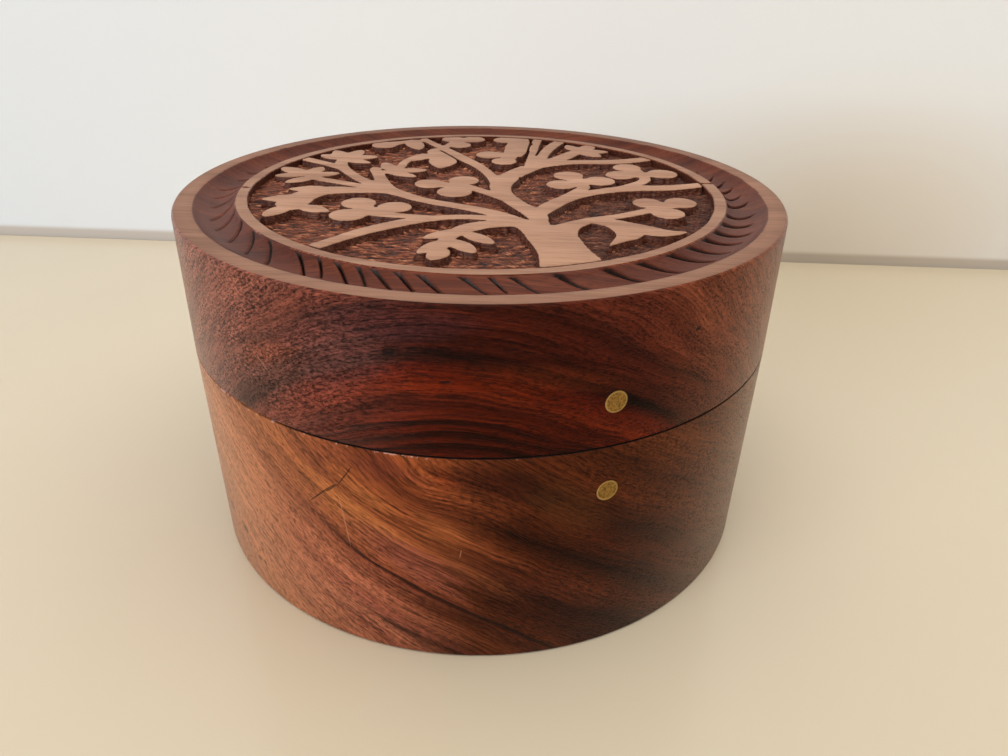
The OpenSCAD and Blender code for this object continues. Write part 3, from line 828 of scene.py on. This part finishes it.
def make_ground_wood():
    """Ground of the carving: dark, torn by the chisel, with paler fibres on its crests and painted shade in its
    hollows.
    """
    tree, shader = material("chiselled ground")
    axes = use(tree, "timber axes")
    along, outward = axes.along, axes.outward

    def strokes(ca, cw):
        """Torn fibres along one direction of the ground."""
        run, over = along * ca + outward * cw, outward * ca - along * cw
        return noise(point(run * 0.42, over * 2.6), 1.0, 3.0, 0.62, 0.5)

    straight, slanted = strokes(0.98, 0.17), strokes(0.66, -0.75)
    side = fit(noise(point(along * 0.045, outward * 0.045), 1.0, 1.0) + along * 0.006, 0.52, 0.62)
    torn = slanted * side + straight * (1.0 - side)
    # Painted shade: the hollows between the chisel marks are dark, while the crests are pale with torn fibres
    colour = ramp(stored(tree, "crest") * 0.42 + torn * 0.72, [
        (0.34, paint(18, 6, 4)), (0.47, paint(52, 20, 11)), (0.59, paint(104, 50, 30)), (0.71, paint(152, 86, 58)),
        (0.82, paint(200, 140, 106))])
    # Painted shade: darker towards the right, away from the light
    colour = blend(tree, fit(along, 0.0, 40.0, 0.0, 0.62), colour, paint(46, 16, 9))
    feed(shader, {"Base Color": colour, "Roughness": 0.55, "Specular IOR Level": 0.3,
                  "Normal": bump(torn, 0.9, 0.0009)})


# ---------------------------------------------------------------- metal and felt

def make_brass():
    tree, shader = material("sanded brass")
    place = object_place(tree)
    blotch = noise(place, 2200.0, 3.0, 0.65)
    lines = noise(read(tree, "Mapping", {"Vector": place, "Scale": (9000, 9000, 700),
                                         "Rotation": (0.0, math.radians(35), 0.0)}), 1.0, 2.0)
    brass = bpy.context.scene.rosary_finish.brass[:]
    colour = blend(tree, fit(blotch, 0.36, 0.6), paint(112, 82, 36), brass)
    colour = blend(tree, fit(stored(tree, "edge"), 0.8, 0.9) * 0.6, colour, paint(204, 172, 108))
    feed(shader, {"Base Color": colour, "Metallic": 0.85, "Normal": bump(lines, 0.25, 0.00005),
                  "Roughness": fit(blotch, 0.3, 0.7, 0.42, 0.6, kind="LINEAR")})


def make_steel():
    tree, shader = material("drawn steel")
    lines = noise(read(tree, "Mapping", {"Vector": object_place(tree), "Scale": (4000, 200, 4000)}), 1.0, 2.0)
    colour = blend(tree, lines, bpy.context.scene.rosary_finish.steel[:], paint(120, 120, 122))
    feed(shader, {"Base Color": colour, "Metallic": 1.0, "Normal": bump(lines, 0.2, 0.00004),
                  "Roughness": fit(lines, 0.3, 0.7, 0.28, 0.42, kind="LINEAR")})


def make_felt():
    tree, shader = material("short felt")
    place = object_place(tree)
    nap = noise(place, 1900.0, 4.0, 0.7, 0.8)
    colour = blend(tree, fit(nap, 0.35, 0.65), bpy.context.scene.rosary_finish.felt[:], paint(134, 40, 48))
    colour = blend(tree, noise(place, 90.0, 2.0) * 0.4, colour, paint(70, 12, 20))
    feed(shader, {"Base Color": colour, "Roughness": 0.95, "Sheen Weight": 0.35, "Sheen Roughness": 0.5,
                  "Normal": bump(nap, 0.8, 0.0003)})


# ---------------------------------------------------------------- pieces

class ROSARY_OT_finishes(bpy.types.Operator):
    """Make the shared node groups and the materials"""
    bl_idname = "rosary.finishes"
    bl_label = "Make the finishes"

    def execute(self, context):
        make_timber_axes()
        make_grain()
        make_mark()
        for make in (make_lid_side, make_base_wood, make_carved_face, make_cove_wood, make_cut_wall,
                     make_ground_wood, make_brass, make_steel, make_felt):
            make()
        return {"FINISHED"}


class ROSARY_OT_base(bpy.types.Operator):
    """Turn the base: foot ring, tapered outside, spigot and bowl"""
    bl_idname = "rosary.base"
    bl_label = "Turned base"

    def execute(self, context):
        low, high = (FOOT_R, EASE), (BOX_R, SEAM_Z - CHAMFER)
        base = blank("base_turned", BOX_R * MM, (high[1] - low[1]) * MM, (0, 0, (low[1] + high[1]) / 2 * MM),
                     context.scene.rosary_shape.base_steps)
        points = corners(base)
        foot = points[:, 2] < 0.02
        points[foot, :2] *= FOOT_R / BOX_R
        reshape(base, points)
        turn(base, True, high, [
            (BOX_R - CHAMFER, SEAM_Z), (SPIGOT_R + 0.3, SEAM_Z), (SPIGOT_R, SEAM_Z + 0.3),
            (SPIGOT_R, SPIGOT_TOP - CHAMFER), (SPIGOT_R - CHAMFER, SPIGOT_TOP),
            (BOWL_R + CHAMFER, SPIGOT_TOP), (BOWL_R, SPIGOT_TOP - CHAMFER), (BOWL_R, FLOOR_Z + FILLET_R),
            *arc(BOWL_R - FILLET_R, FLOOR_Z + FILLET_R, FILLET_R, 0, -90, 8), (40, FLOOR_Z), (12, FLOOR_Z)])
        turn(base, False, low, [
            *arc(FOOT_R - EASE, EASE, EASE, 0, -90, 4), (FOOT_RING_IN + 0.4, 0.0), (FOOT_RING_IN, 0.4),
            (FOOT_RING_IN, FOOT_RECESS), (30, FOOT_RECESS), (8, FOOT_RECESS)])
        drill(base, 2.5, BOX_R - 6, BOX_R + 1, INDEX_Z)
        drill(base, PIN_CATCH_R, 63.65, SPIGOT_R + 1, PLUG_Z)
        tidy_normals(base)
        smooth(base, 28)
        dress(base, "base", "base_wood", "lacquered base wood")
        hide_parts("base_body")
        return {"FINISHED"}


class ROSARY_OT_lid(bpy.types.Operator):
    """Turn the lid, with its rim, ring and a cove of gouge cuts"""
    bl_idname = "rosary.lid"
    bl_label = "Turned lid"

    def execute(self, context):
        shape = context.scene.rosary_shape
        low, high = (BOX_R, SEAM_Z + 4), (BOX_R, TOP_Z - EASE)
        lid = blank("lid_turned", BOX_R * MM, (high[1] - low[1]) * MM, (0, 0, (low[1] + high[1]) / 2 * MM),
                    shape.turned_steps)
        spots = [*np.linspace(RIM_IN, CUTS_OUT, 6)[1:], *np.linspace(CUTS_OUT, RING_OUT, 30)[1:-1]]
        cove = [(r, cove_height(r)) for r in spots]
        turn(lid, True, high, [
            *arc(BOX_R - EASE, TOP_Z - EASE, EASE, 0, 90, 4), (72.4, TOP_Z), (RIM_IN + 0.25, TOP_Z),
            (RIM_IN, TOP_Z - 0.1), *cove, (RING_OUT + 0.02, TOP_Z - 0.22), (RING_OUT - 0.22, TOP_Z),
            (59.4, TOP_Z), (RING_IN + 0.2, TOP_Z), (RING_IN, TOP_Z - 0.2), (RING_IN + 0.1, 86.9),
            (RING_IN + 0.2, SINK_Z), (20, SINK_Z)])
        turn(lid, False, low, [
            (BOX_R, SEAM_Z + 1.5), (BOX_R, SEAM_Z + 0.7), (BOX_R, SEAM_Z + CHAMFER), (BOX_R - CHAMFER, SEAM_Z),
            (SKIRT_R + CHAMFER, SEAM_Z), (SKIRT_R, SEAM_Z + CHAMFER),
            (SKIRT_R, CEILING_Z - FILLET_R),
            *arc(SKIRT_R - FILLET_R, CEILING_Z - FILLET_R, FILLET_R, 0, 90, 6), (30, CEILING_Z)])
        self.carve(lid, shape)
        drill(lid, 2.5, BOX_R - 2, BOX_R + 1, PLUG_Z)
        drill(lid, PIN_BORE_R, SKIRT_R - 1, BOX_R - 1.9, PLUG_Z)
        tidy_normals(lid)
        smooth(lid, 30)
        dress(lid, "lid", "lid_wood", "lacquered lid wood", "sanded carved faces",
              "waxed cove", "chiselled walls")
        middle, normal = face_facts(lid)
        radius, z = polar(middle)[0], middle[:, 2] / MM
        which = np.zeros(len(radius), dtype=np.int32)
        which[(z > 87.9) & (radius < BOX_R - 0.6)] = 1
        which[(z > 84.5) & (radius < RIM_IN + 0.1) & (radius > RING_OUT - 0.05)] = 2
        which[(z > 84) & (radius < RING_IN + 0.22) & (normal[:, 2] < 0.5)] = 3
        lid.data.polygons.foreach_set("material_index", which)
        # The cuts' depth and sharp lines are kept for the cove's painted shade
        deep, cut_shade = self.cuts(corners(lid), shape)
        keep_value(lid, "cut_shade", cut_shade)
        keep_value(lid, "scoop", np.clip(deep / (shape.gouge_depth / MM), 0, 1))
        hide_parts("lid_body")
        return {"FINISHED"}

    def cuts(self, points, shape):
        """Depth in millimetres of the gouge cuts at each point, and how near it is to a cut's sharp line, where the
        cove paints the cut's shade.
        """
        rng = np.random.default_rng(11)
        rows = list(NEAR_CUTS)
        angle = rows[-1][0] + 6
        while angle < 360 + NEAR_CUTS[0][0] - 3.5:
            rows.append((angle, angle + rng.uniform(7.2, 8.6), rng.uniform(66.9, 68)))
            angle += rng.uniform(5.6, 6.8)
        radius, turned = polar(points)
        deep, cut_shade = np.zeros(len(points)), np.zeros(len(points))
        near = np.flatnonzero((radius > RING_OUT + 0.04) & (radius < 69) & (points[:, 2] > 0.0838))
        radius, turned = radius[near], np.degrees(turned[near])
        full = shape.gouge_depth / MM
        for start, end, reach in rows:
            fine = 208 < start < 262
            s = np.clip((radius - RING_OUT) / (reach - RING_OUT), 0.004, 1)
            line = start + (end - start) * s ** 0.62
            rate = np.radians(end - start) * 0.62 * s ** -0.38 * radius / (reach - RING_OUT)
            off = np.radians((turned - line + 180) % 360 - 180) * radius / np.sqrt(1 + rate ** 2)
            along = (1 - 0.45 * s) * np.sqrt(np.clip((1 - s) / 0.16, 0, 1)) * (radius < reach)
            along *= np.clip((radius - RING_OUT) / 0.35, 0.25, 1)
            wide = rng.uniform(0.5, 0.75) if fine else rng.uniform(0.9, 1.35)
            gentle = np.clip(1 + off / wide, 0, 1) ** 1.5 * (off <= 0)
            steep = np.clip(1 - off / 0.24, 0, 1) * (off > 0)
            depth = full * rng.uniform(0.75, 1.1) * along
            deep[near] = np.maximum(deep[near], depth * (gentle + steep))
            cut_shade[near] = np.maximum(cut_shade[near], np.clip(along * 1.7, 0, 1)
                                     * np.exp(-((off + 0.1) / (0.4 - 0.16 * s)) ** 2))
        return deep, cut_shade

    def carve(self, lid, shape):
        """Sink the gouge cuts, and let the edges wander as a hand leaves them."""
        points = corners(lid)
        radius, angle = polar(points)
        points[:, 2] -= self.cuts(points, shape)[0] * MM
        # The edges of the ring and of the rim wander a little
        for centre, amount, seed in ((RING_OUT, 0.13, 21), (RING_IN, 0.16, 22), (RIM_IN, 0.1, 23)):
            near = np.clip(1 - np.abs(radius - centre) / 0.9, 0, 1) * (points[:, 2] > 0.085)
            move = 1 + near * amount * (wander(angle, seed) + 0.5 * wander(angle, seed + 50, 12, 31)) / radius
            points[:, :2] *= move[:, None]
        # Two small splits across the ring
        for degrees, depth in ((162.4, 0.7), (-15.1, 0.9)):
            away = (angle - math.radians(degrees) + math.pi) % TAU - math.pi
            away = np.abs(away * radius + 0.25 * np.sin(radius * 2.1))
            on_ring = (radius > RING_IN - 0.3) & (radius < RING_OUT + 0.3) & (points[:, 2] > 0.0872)
            points[:, 2] -= np.clip(1 - away / 0.5, 0, 1) * on_ring * depth * MM
        # Nicks along the lower edge of the lid
        rng = np.random.default_rng(5)
        edge = (points[:, 2] < (SEAM_Z + 0.5) * MM) & (radius > 74)
        for _ in range(46):
            at = rng.uniform(-math.pi, math.pi)
            wide, deep_nick = rng.uniform(0.4, 1.6), rng.uniform(0.04, 0.16)
            away = np.abs(((angle - at + math.pi) % TAU - math.pi) * radius)
            pull = 1 - np.clip(1 - away / wide, 0, 1) * edge * deep_nick / BOX_R
            points[:, :2] *= pull[:, None]
        reshape(lid, points)


class ROSARY_OT_tree(bpy.types.Operator):
    """Raise the carved tree from the outline that the frame's lid has"""
    bl_idname = "rosary.tree"
    bl_label = "Carved tree"

    def execute(self, context):
        shape = context.scene.rosary_shape
        outline, edges = [], []
        for line in contours(tree_field(shape)):
            line = even(line, 0.3, 9)
            first = len(outline)
            outline += [(x * MM, y * MM, TOP_Z * MM) for x, y in line]
            edges += [(first + k, first + (k + 1) % len(line)) for k in range(len(line))]
        sheet = bpy.data.meshes.new("lid_tree")
        sheet.from_pydata(outline, edges, [])
        tree = bpy.data.objects.new("lid_tree", sheet)
        context.scene.collection.objects.link(tree)
        only(tree)
        bpy.ops.object.mode_set(mode="EDIT")
        bpy.ops.mesh.select_mode(type="EDGE")
        bpy.ops.mesh.select_all(action="SELECT")
        bpy.ops.mesh.fill(use_beauty=True)
        bpy.ops.object.mode_set(mode="OBJECT")
        self.raise_walls(tree, shape)
        smooth(tree, 42)
        dress(tree, "lid", "lid_wood", "sanded carved faces", "chiselled walls")
        middle, _ = face_facts(tree)
        tree.data.polygons.foreach_set("material_index", (middle[:, 2] < (TOP_Z - 0.14) * MM).astype(np.int32))
        return {"FINISHED"}

    def raise_walls(self, tree, shape):
        """Extrude the faces of the tree down, then ease their edge and lean the walls out to the ground."""
        ease = shape.tree_ease / MM
        # Height below the face, how far the wall stands out from the outline, and how much it wanders
        levels = [(0, -ease, 0.05), (0.3 * ease, -0.35 * ease, 0.05), (ease, 0, 0.05), (0.7, 0.1, 0.1),
                  (1.2, 0.3, 0.22), (1.8, 0.5, 0.3), (2.9, 0.6, 0.3)]
        pick_faces(tree, np.ones(len(tree.data.polygons), dtype=bool))
        for (above, _, _), (below, _, _) in zip(levels, levels[1:]):
            bpy.ops.mesh.extrude_region_move(TRANSFORM_OT_translate={"value": (0, 0, (above - below) * MM)})
        bpy.ops.mesh.select_all(action="SELECT")
        bpy.ops.mesh.normals_make_consistent(inside=False)
        bpy.ops.object.mode_set(mode="OBJECT")
        _, normal = face_facts(tree)
        owner = np.empty(len(tree.data.loops), dtype=int)
        tree.data.loops.foreach_get("vertex_index", owner)
        sizes = np.empty(len(tree.data.polygons), dtype=int)
        tree.data.polygons.foreach_get("loop_total", sizes)
        face = np.repeat(np.arange(len(sizes)), sizes)
        wall = np.abs(normal[face, 2]) < 0.5
        points = corners(tree)
        total = np.zeros((len(points), 2))
        np.add.at(total, owner[wall], normal[face[wall], :2])
        count = np.bincount(owner[wall], minlength=len(points))
        size = np.linalg.norm(total, axis=1)
        lean = np.where((count > 0) & (size > 1e-6), np.clip(count / np.maximum(size, 1e-6), 1, 1.7), 0)
        away = total / np.maximum(size, 1e-6)[:, None] * lean[:, None]
        x, y = points[:, 0] / MM, points[:, 1] / MM
        knife = np.sin(4.1 * x + 1.3) * np.cos(3.6 * y + 0.4) + 0.6 * np.sin(2.2 * x - 2.9 * y)
        drops = np.array([drop for drop, _, _ in levels])
        level = np.argmin(np.abs((TOP_Z - points[:, 2] / MM)[:, None] - drops[None, :]), axis=1)
        out = np.array([out for _, out, _ in levels])[level] + knife * np.array([w for _, _, w in levels])[level]
        points[:, :2] += away * out[:, None] * MM
        reshape(tree, points)


class ROSARY_OT_ground(bpy.types.Operator):
    """Cut the ground behind the tree with short chisel marks"""
    bl_idname = "rosary.ground"
    bl_label = "Chiselled ground"

    def execute(self, context):
        shape = context.scene.rosary_shape
        fresh()
        bpy.ops.mesh.primitive_grid_add(x_subdivisions=GROUND_CELLS[0], y_subdivisions=GROUND_CELLS[1],
                                        size=2 * GROUND_HALF * MM, location=(0, 0, GROUND_Z * MM))
        ground = named("lid_ground")
        settle(ground)
        points = corners(ground)
        flat = points[:, :2] / MM
        column, row = (np.rint((flat[:, k] + GROUND_HALF) / (2 * GROUND_HALF) * GROUND_CELLS[k]).astype(int)
                       for k in (0, 1))
        # The grid is turned to lie along the fibres
        points[:, 0] = (flat[:, 0] * ALONG[0] - flat[:, 1] * ALONG[1]) * MM
        points[:, 1] = (flat[:, 0] * ALONG[1] + flat[:, 1] * ALONG[0]) * MM
        height, crest = (field[row, column] for field in self.heights(shape))
        # The ground climbs towards the leaves, more in some places than in others
        near = soften(tree_field(shape), 90)
        spot = np.clip(np.rint((points[:, :2] / MM + FIELD_HALF) / FIELD_STEP).astype(int), 0, len(near) - 1)
        near = near[spot[:, 1], spot[:, 0]]
        x, y = points[:, 0] / MM, points[:, 1] / MM
        patch = 0.5 + 0.5 * np.sin(0.35 * x + 2 * np.sin(0.12 * y)) * np.cos(0.31 * y - 1 + np.sin(0.2 * x))
        climb = np.clip(near / 0.5, 0, 1) ** 2 * (0.25 + 0.75 * patch) * 0.8
        points[:, 2] += (height * (1 - 0.45 * climb) + climb) * MM
        reshape(ground, points)
        keep_value(ground, "crest", crest)
        middle, _ = face_facts(ground)
        pick_faces(ground, np.hypot(middle[:, 0], middle[:, 1]) > GROUND_R * MM)
        bpy.ops.mesh.delete(type="FACE")
        bpy.ops.mesh.select_all(action="SELECT")
        bpy.ops.mesh.region_to_loop()
        bpy.ops.mesh.extrude_region_move(TRANSFORM_OT_translate={"value": (0, 0, -1.0 * MM)})
        bpy.ops.transform.resize(value=(1, 1, 0), center_override=(0, 0, GROUND_BOTTOM_Z * MM))
        bpy.ops.mesh.edge_face_add()
        bpy.ops.object.mode_set(mode="OBJECT")
        tidy_normals(ground)
        smooth(ground, 60)
        dress(ground, "lid", "lid_wood", "chiselled ground")
        return {"FINISHED"}

    def heights(self, shape):
        """Height of the ground over its grid, in millimetres, after all its chisel marks, and how high in 0 to 1."""
        rng = np.random.default_rng(7)
        half = GROUND_HALF
        x, y = np.meshgrid(*(np.linspace(-half, half, n + 1) for n in GROUND_CELLS))
        step = [2 * half / n for n in GROUND_CELLS]
        field = np.zeros_like(x)
        for _ in range(shape.tool_marks):
            cx, cy = rng.uniform(-half, half, 2)
            # Strokes lie along the fibres, and swing across them in places on the right
            swing = 0.5 * math.sin(0.11 * cx + 0.4) * math.cos(0.13 * cy - 0.6) if cx > 0 else 0.06
            lean = swing + rng.normal() * (0.22 if cx > 0 else 0.1)
            length, width = rng.uniform(0.8, 2.7), rng.uniform(0.19, 0.36)
            over = length * abs(math.sin(lean)) + width
            i0, i1 = int((cy - over + half) / step[1]), int((cy + over + half) / step[1]) + 2
            j0, j1 = int((cx - length + half) / step[0]), int((cx + length + half) / step[0]) + 2
            cut = (slice(max(i0, 0), i1), slice(max(j0, 0), j1))
            dx, dy = x[cut] - cx, y[cut] - cy
            u = (dx * math.cos(lean) + dy * math.sin(lean)) / length
            v = (dy * math.cos(lean) - dx * math.sin(lean)) / width
            # A stroke either cuts a groove or leaves a torn strand standing
            side = 1 if rng.random() < 0.42 else -1
            field[cut] += np.clip(1 - u * u - v * v, 0, 1) * side * rng.uniform(0.3, 1)
        spread = np.clip((field - field.mean()) / (field.std() * 2.2), -1, 1)
        swell = 0.2 * np.sin(x * 0.13 + 1) * np.cos(y * 0.11) + 0.1 * np.sin(x * 0.31 + y * 0.23)
        return spread * shape.tool_depth / MM + swell, 0.5 + 0.5 * spread


class ROSARY_OT_dots(bpy.types.Operator):
    """Set the two brass dots, sanded flush with the sides"""
    bl_idname = "rosary.dots"
    bl_label = "Brass dots"

    def execute(self, context):
        radius = context.scene.rosary_shape.dot_radius
        for name, node, body, depth, z in (("index_dot", "base_index_dot", "base", 6.0, INDEX_Z),
                                           ("plug_dot", "lid_plug_dot", "lid", 2.0, PLUG_Z)):
            dot = blank(name, radius, depth * MM, (0, -(BOX_R - depth / 2) * MM, z * MM), 72, True)
            _, normal = face_facts(dot)
            pick_faces(dot, normal[:, 1] < -0.9)
            for inset in (0.1, 0.25, 0.45, 0.5, 0.5):
                bpy.ops.mesh.inset(thickness=inset * MM)
            bpy.ops.mesh.poke()
            bpy.ops.object.mode_set(mode="OBJECT")
            points = corners(dot)
            front = points[:, 1] < -(BOX_R - 0.01) * MM
            wall = BOX_R if body == "lid" else FOOT_R + z / SEAM_Z
            x, up = points[front, 0] / MM, points[front, 2] / MM
            out = np.hypot(x, up - z) / (radius / MM)
            rng = np.random.default_rng(3)
            dents = 0.012 * rng.normal(size=len(x)) * (out < 0.9)
            seat = np.sqrt(wall ** 2 - x ** 2) - 0.02 - 0.09 * np.clip((out - 0.93) / 0.07, 0, 1) - np.abs(dents)
            points[front, 1] = -seat * MM
            reshape(dot, points)
            tidy_normals(dot)
            points = corners(dot)
            keep_value(dot, "edge", np.hypot(points[:, 0], points[:, 2] - z * MM) / radius)
            smooth(dot, 35)
            dress(dot, body, "dot_brass", "sanded brass")
            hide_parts(node)
        return {"FINISHED"}


class ROSARY_OT_pin(bpy.types.Operator):
    """Cut the loose steel lock pin that lies behind the lid's dot"""
    bl_idname = "rosary.pin"
    bl_label = "Lock pin"

    def execute(self, context):
        low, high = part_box("lock_pin")
        pin = blank("pin_rod", (high[0] - low[0]) / 2, high[1] - low[1],
                    (0, (low[1] + high[1]) / 2, (low[2] + high[2]) / 2), 64, True)
        _, normal = face_facts(pin)
        pick_faces(pin, np.abs(normal[:, 1]) > 0.9)
        bpy.ops.mesh.bevel(offset=0.3 * MM, segments=4, affect="EDGES")
        bpy.ops.object.mode_set(mode="OBJECT")
        smooth(pin, 35)
        dress(pin, "pin", "pin_steel", "drawn steel")
        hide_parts("lock_pin")
        return {"FINISHED"}


class ROSARY_OT_lining(bpy.types.Operator):
    """Lay the felt disc on the floor of the bowl"""
    bl_idname = "rosary.lining"
    bl_label = "Felt lining"

    def execute(self, context):
        shape = context.scene.rosary_shape
        felt = blank("felt_disc", shape.felt_radius, shape.felt_thickness,
                     (0, 0, FLOOR_Z * MM + shape.felt_thickness / 2), 256)
        _, normal = face_facts(felt)
        pick_faces(felt, normal[:, 2] > 0.9)
        bpy.ops.mesh.inset(thickness=0.35 * MM)
        for _ in range(44):
            bpy.ops.mesh.inset(thickness=1.25 * MM)
        bpy.ops.mesh.poke()
        bpy.ops.object.mode_set(mode="OBJECT")
        points = corners(felt)
        radius, angle = polar(points)
        rng = np.random.default_rng(9)
        top, edge = points[:, 2] > (FLOOR_Z + 1) * MM, radius > 56.8
        points[top, 2] -= rng.uniform(0, 0.1, top.sum()) * MM
        points[top & edge, 2] -= 0.3 * MM
        shrink = 1 - edge * (0.16 + 0.14 * wander(angle, 31, 14, 23)) / 57
        points[:, :2] *= shrink[:, None]
        reshape(felt, points)
        tidy_normals(felt)
        smooth(felt, 60)
        dress(felt, "base", "felt", "short felt")
        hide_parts("base_lining")
        return {"FINISHED"}


# ---------------------------------------------------------------- stage

def shade_wall(tree, colour):
    """Painted soft warm shadow low on the right of the wall, painted shade dulling its left end, and a painted shadow
    line along its foot.
    """
    place = object_place(tree)
    far = read(tree, "VectorMath", {0: place, 1: (0.24, 0.1, 0.02)}, operation="SUBTRACT")
    far = read(tree, "VectorMath", {0: far, 1: (1, 1, 1.7)}, operation="MULTIPLY")
    far = read(tree, "VectorMath", {0: far}, "Value", operation="LENGTH")
    colour = blend(tree, fit(far, 0.15, 0.02, 0.0, 0.5), colour, paint(222, 202, 172))
    split = Outlets(put(tree, "SeparateXYZ", {0: place}))
    # Painted shade: the left end of the wall duller
    colour = blend(tree, fit(split.x, 0.1, -0.22), colour, paint(220, 226, 234))
    # Painted shadow line along the foot of the wall
    return blend(tree, fit(split.z, 0.0062, 0.0032, 0.0, 0.7), colour, paint(176, 162, 146))


def stage_plane(name, size, place, turned, colour, rough, one_sided):
    fresh()
    bpy.ops.mesh.primitive_plane_add(size=1, location=place, rotation=turned)
    plane = named(name)
    plane.scale = (*size, 1)
    settle(plane)
    tree, shader = material(name + " paint")
    feed(shader, {"Base Color": colour, "Roughness": rough})
    if one_sided:
        # Seen from behind the wall lets the camera through, so that every side of the box can be looked at
        side = read(tree, "NewGeometry", output="Backfacing")
        seen = read(tree, "MixShader", {0: side, 1: Value(shader.outputs[0]), 2: read(tree, "BsdfTransparent")})
        feed(tree.nodes["Material Output"], {"Surface": seen})
        feed(shader, {"Base Color": shade_wall(tree, colour)})
    plane.data.materials.append(bpy.data.materials[name + " paint"])


def lamp(name, energy, size, place, target, colour):
    """A rectangular lamp that is turned towards its target."""
    data = bpy.data.lights.new(name, "AREA")
    data.energy = energy
    data.color = colour[:3]
    data.shape = "RECTANGLE"
    data.size, data.size_y = size
    light = bpy.data.objects.new(name, data)
    bpy.context.scene.collection.objects.link(light)
    light.location = place
    light.rotation_euler = (Vector(target) - Vector(place)).to_track_quat("-Z", "Y").to_euler()


class ROSARY_OT_stage(bpy.types.Operator):
    """Set the table, the wall, the lamps and the camera"""
    bl_idname = "rosary.stage"
    bl_label = "Stage"

    def execute(self, context):
        finish = context.scene.rosary_finish
        # The wall runs behind the box at the slant that the camera sees
        left, right = Vector((-0.1669, 0.2882, 0)), Vector((0.3108, 0.0696, 0))
        run = (right - left).normalized()
        facing = Vector((run.y, -run.x, 0))
        heading = math.atan2(run.y, run.x)
        middle = (left + right) / 2
        stage_plane("table", (3, 1.5), middle + facing * 0.75, (0, 0, heading), finish.table[:], 0.2, False)
        stage_plane("wall", (3, 1.6), middle - facing * 0.002 + Vector((0, 0, 0.796)),
                    (math.pi / 2, 0, heading), finish.wall[:], 0.85, True)
        lamp("window", 19.6, (1.2, 1.0), (-1.5, -0.75, 0.6), (0, 0, 0.05), paint(246, 250, 255))
        lamp("ceiling", 11.0, (1.4, 1.4), (0.15, -0.15, 1.15), (0.05, 0.05, 0.02), paint(255, 250, 238))
        self.room(context)
        self.camera(context)
        context.scene.view_settings.view_transform = "Standard"
        return {"FINISHED"}

    def room(self, context):
        """Pale light all round, darker on the near side, where the one who looks at the box stands."""
        world = bpy.data.worlds.new("room")
        context.scene.world = world
        world.use_nodes = True
        tree = world.node_tree
        toward = read(tree, "TexCoord", output="Generated")
        front = read(tree, "VectorMath", {0: toward, 1: (-0.33, -0.93, 0.1)}, "Value", operation="DOT_PRODUCT")
        seen = read(tree, "LightPath", output="Is Camera Ray")
        feed(tree.nodes["Background"], {"Color": paint(240, 226, 204),
                                        "Strength": calc("MAXIMUM", fit(front, 0.1, 0.95, 0.62, 0.34), seen)})

    def camera(self, context):
        """The camera of the photo, fitted to the outlines of box and wall."""
        data = bpy.data.cameras.new("camera")
        data.lens = 28.57
        data.sensor_width = 36
        data.clip_start = 0.01
        cam = bpy.data.objects.new("camera", data)
        context.scene.collection.objects.link(cam)
        place = (-0.0708, -0.1904, 0.1445)
        heading, down, roll = math.radians(22.2), 0.5058, 0.0202
        ahead = Vector((math.sin(heading) * math.cos(down), math.cos(heading) * math.cos(down), -math.sin(down)))
        level = ahead.cross(Vector((0, 0, 1))).normalized()
        steep = level.cross(ahead)
        right = level * math.cos(roll) + steep * math.sin(roll)
        up = steep * math.cos(roll) - level * math.sin(roll)
        turned = Matrix((right, up, -ahead)).transposed()
        cam.matrix_world = Matrix.Translation(place) @ turned.to_4x4()
        context.scene.camera = cam


class ROSARY_PT_panel(bpy.types.Panel):
    """Sizes, colours and the steps that build the box"""
    bl_idname = "ROSARY_PT_panel"
    bl_label = "Rosary box"
    bl_space_type = "VIEW_3D"
    bl_region_type = "UI"
    bl_category = "Rosary box"

    def draw(self, context):
        for group_of in (context.scene.rosary_shape, context.scene.rosary_finish):
            box = self.layout.box()
            for key in group_of.__annotations__:
                box.prop(group_of, key)
        for step in STEPS:
            self.layout.operator(step.bl_idname)


STEPS = (ROSARY_OT_finishes, ROSARY_OT_base, ROSARY_OT_lid, ROSARY_OT_tree, ROSARY_OT_ground, ROSARY_OT_dots,
         ROSARY_OT_pin, ROSARY_OT_lining, ROSARY_OT_stage)
CLASSES = (BoxShape, BoxFinish, *STEPS, ROSARY_PT_panel)


def register():
    for c in CLASSES:
        bpy.utils.register_class(c)
    bpy.types.Scene.rosary_shape = bpy.props.PointerProperty(type=BoxShape)
    bpy.types.Scene.rosary_finish = bpy.props.PointerProperty(type=BoxFinish)


def unregister():
    del bpy.types.Scene.rosary_finish
    del bpy.types.Scene.rosary_shape
    for c in reversed(CLASSES):
        bpy.utils.unregister_class(c)


def main():
    register()
    for step in (bpy.ops.rosary.finishes, bpy.ops.rosary.base, bpy.ops.rosary.lid, bpy.ops.rosary.tree,
                 bpy.ops.rosary.ground, bpy.ops.rosary.dots, bpy.ops.rosary.pin, bpy.ops.rosary.lining,
                 bpy.ops.rosary.stage):
        step()
    bpy.context.view_layer.update()


if __name__ == "__main__":
    main()
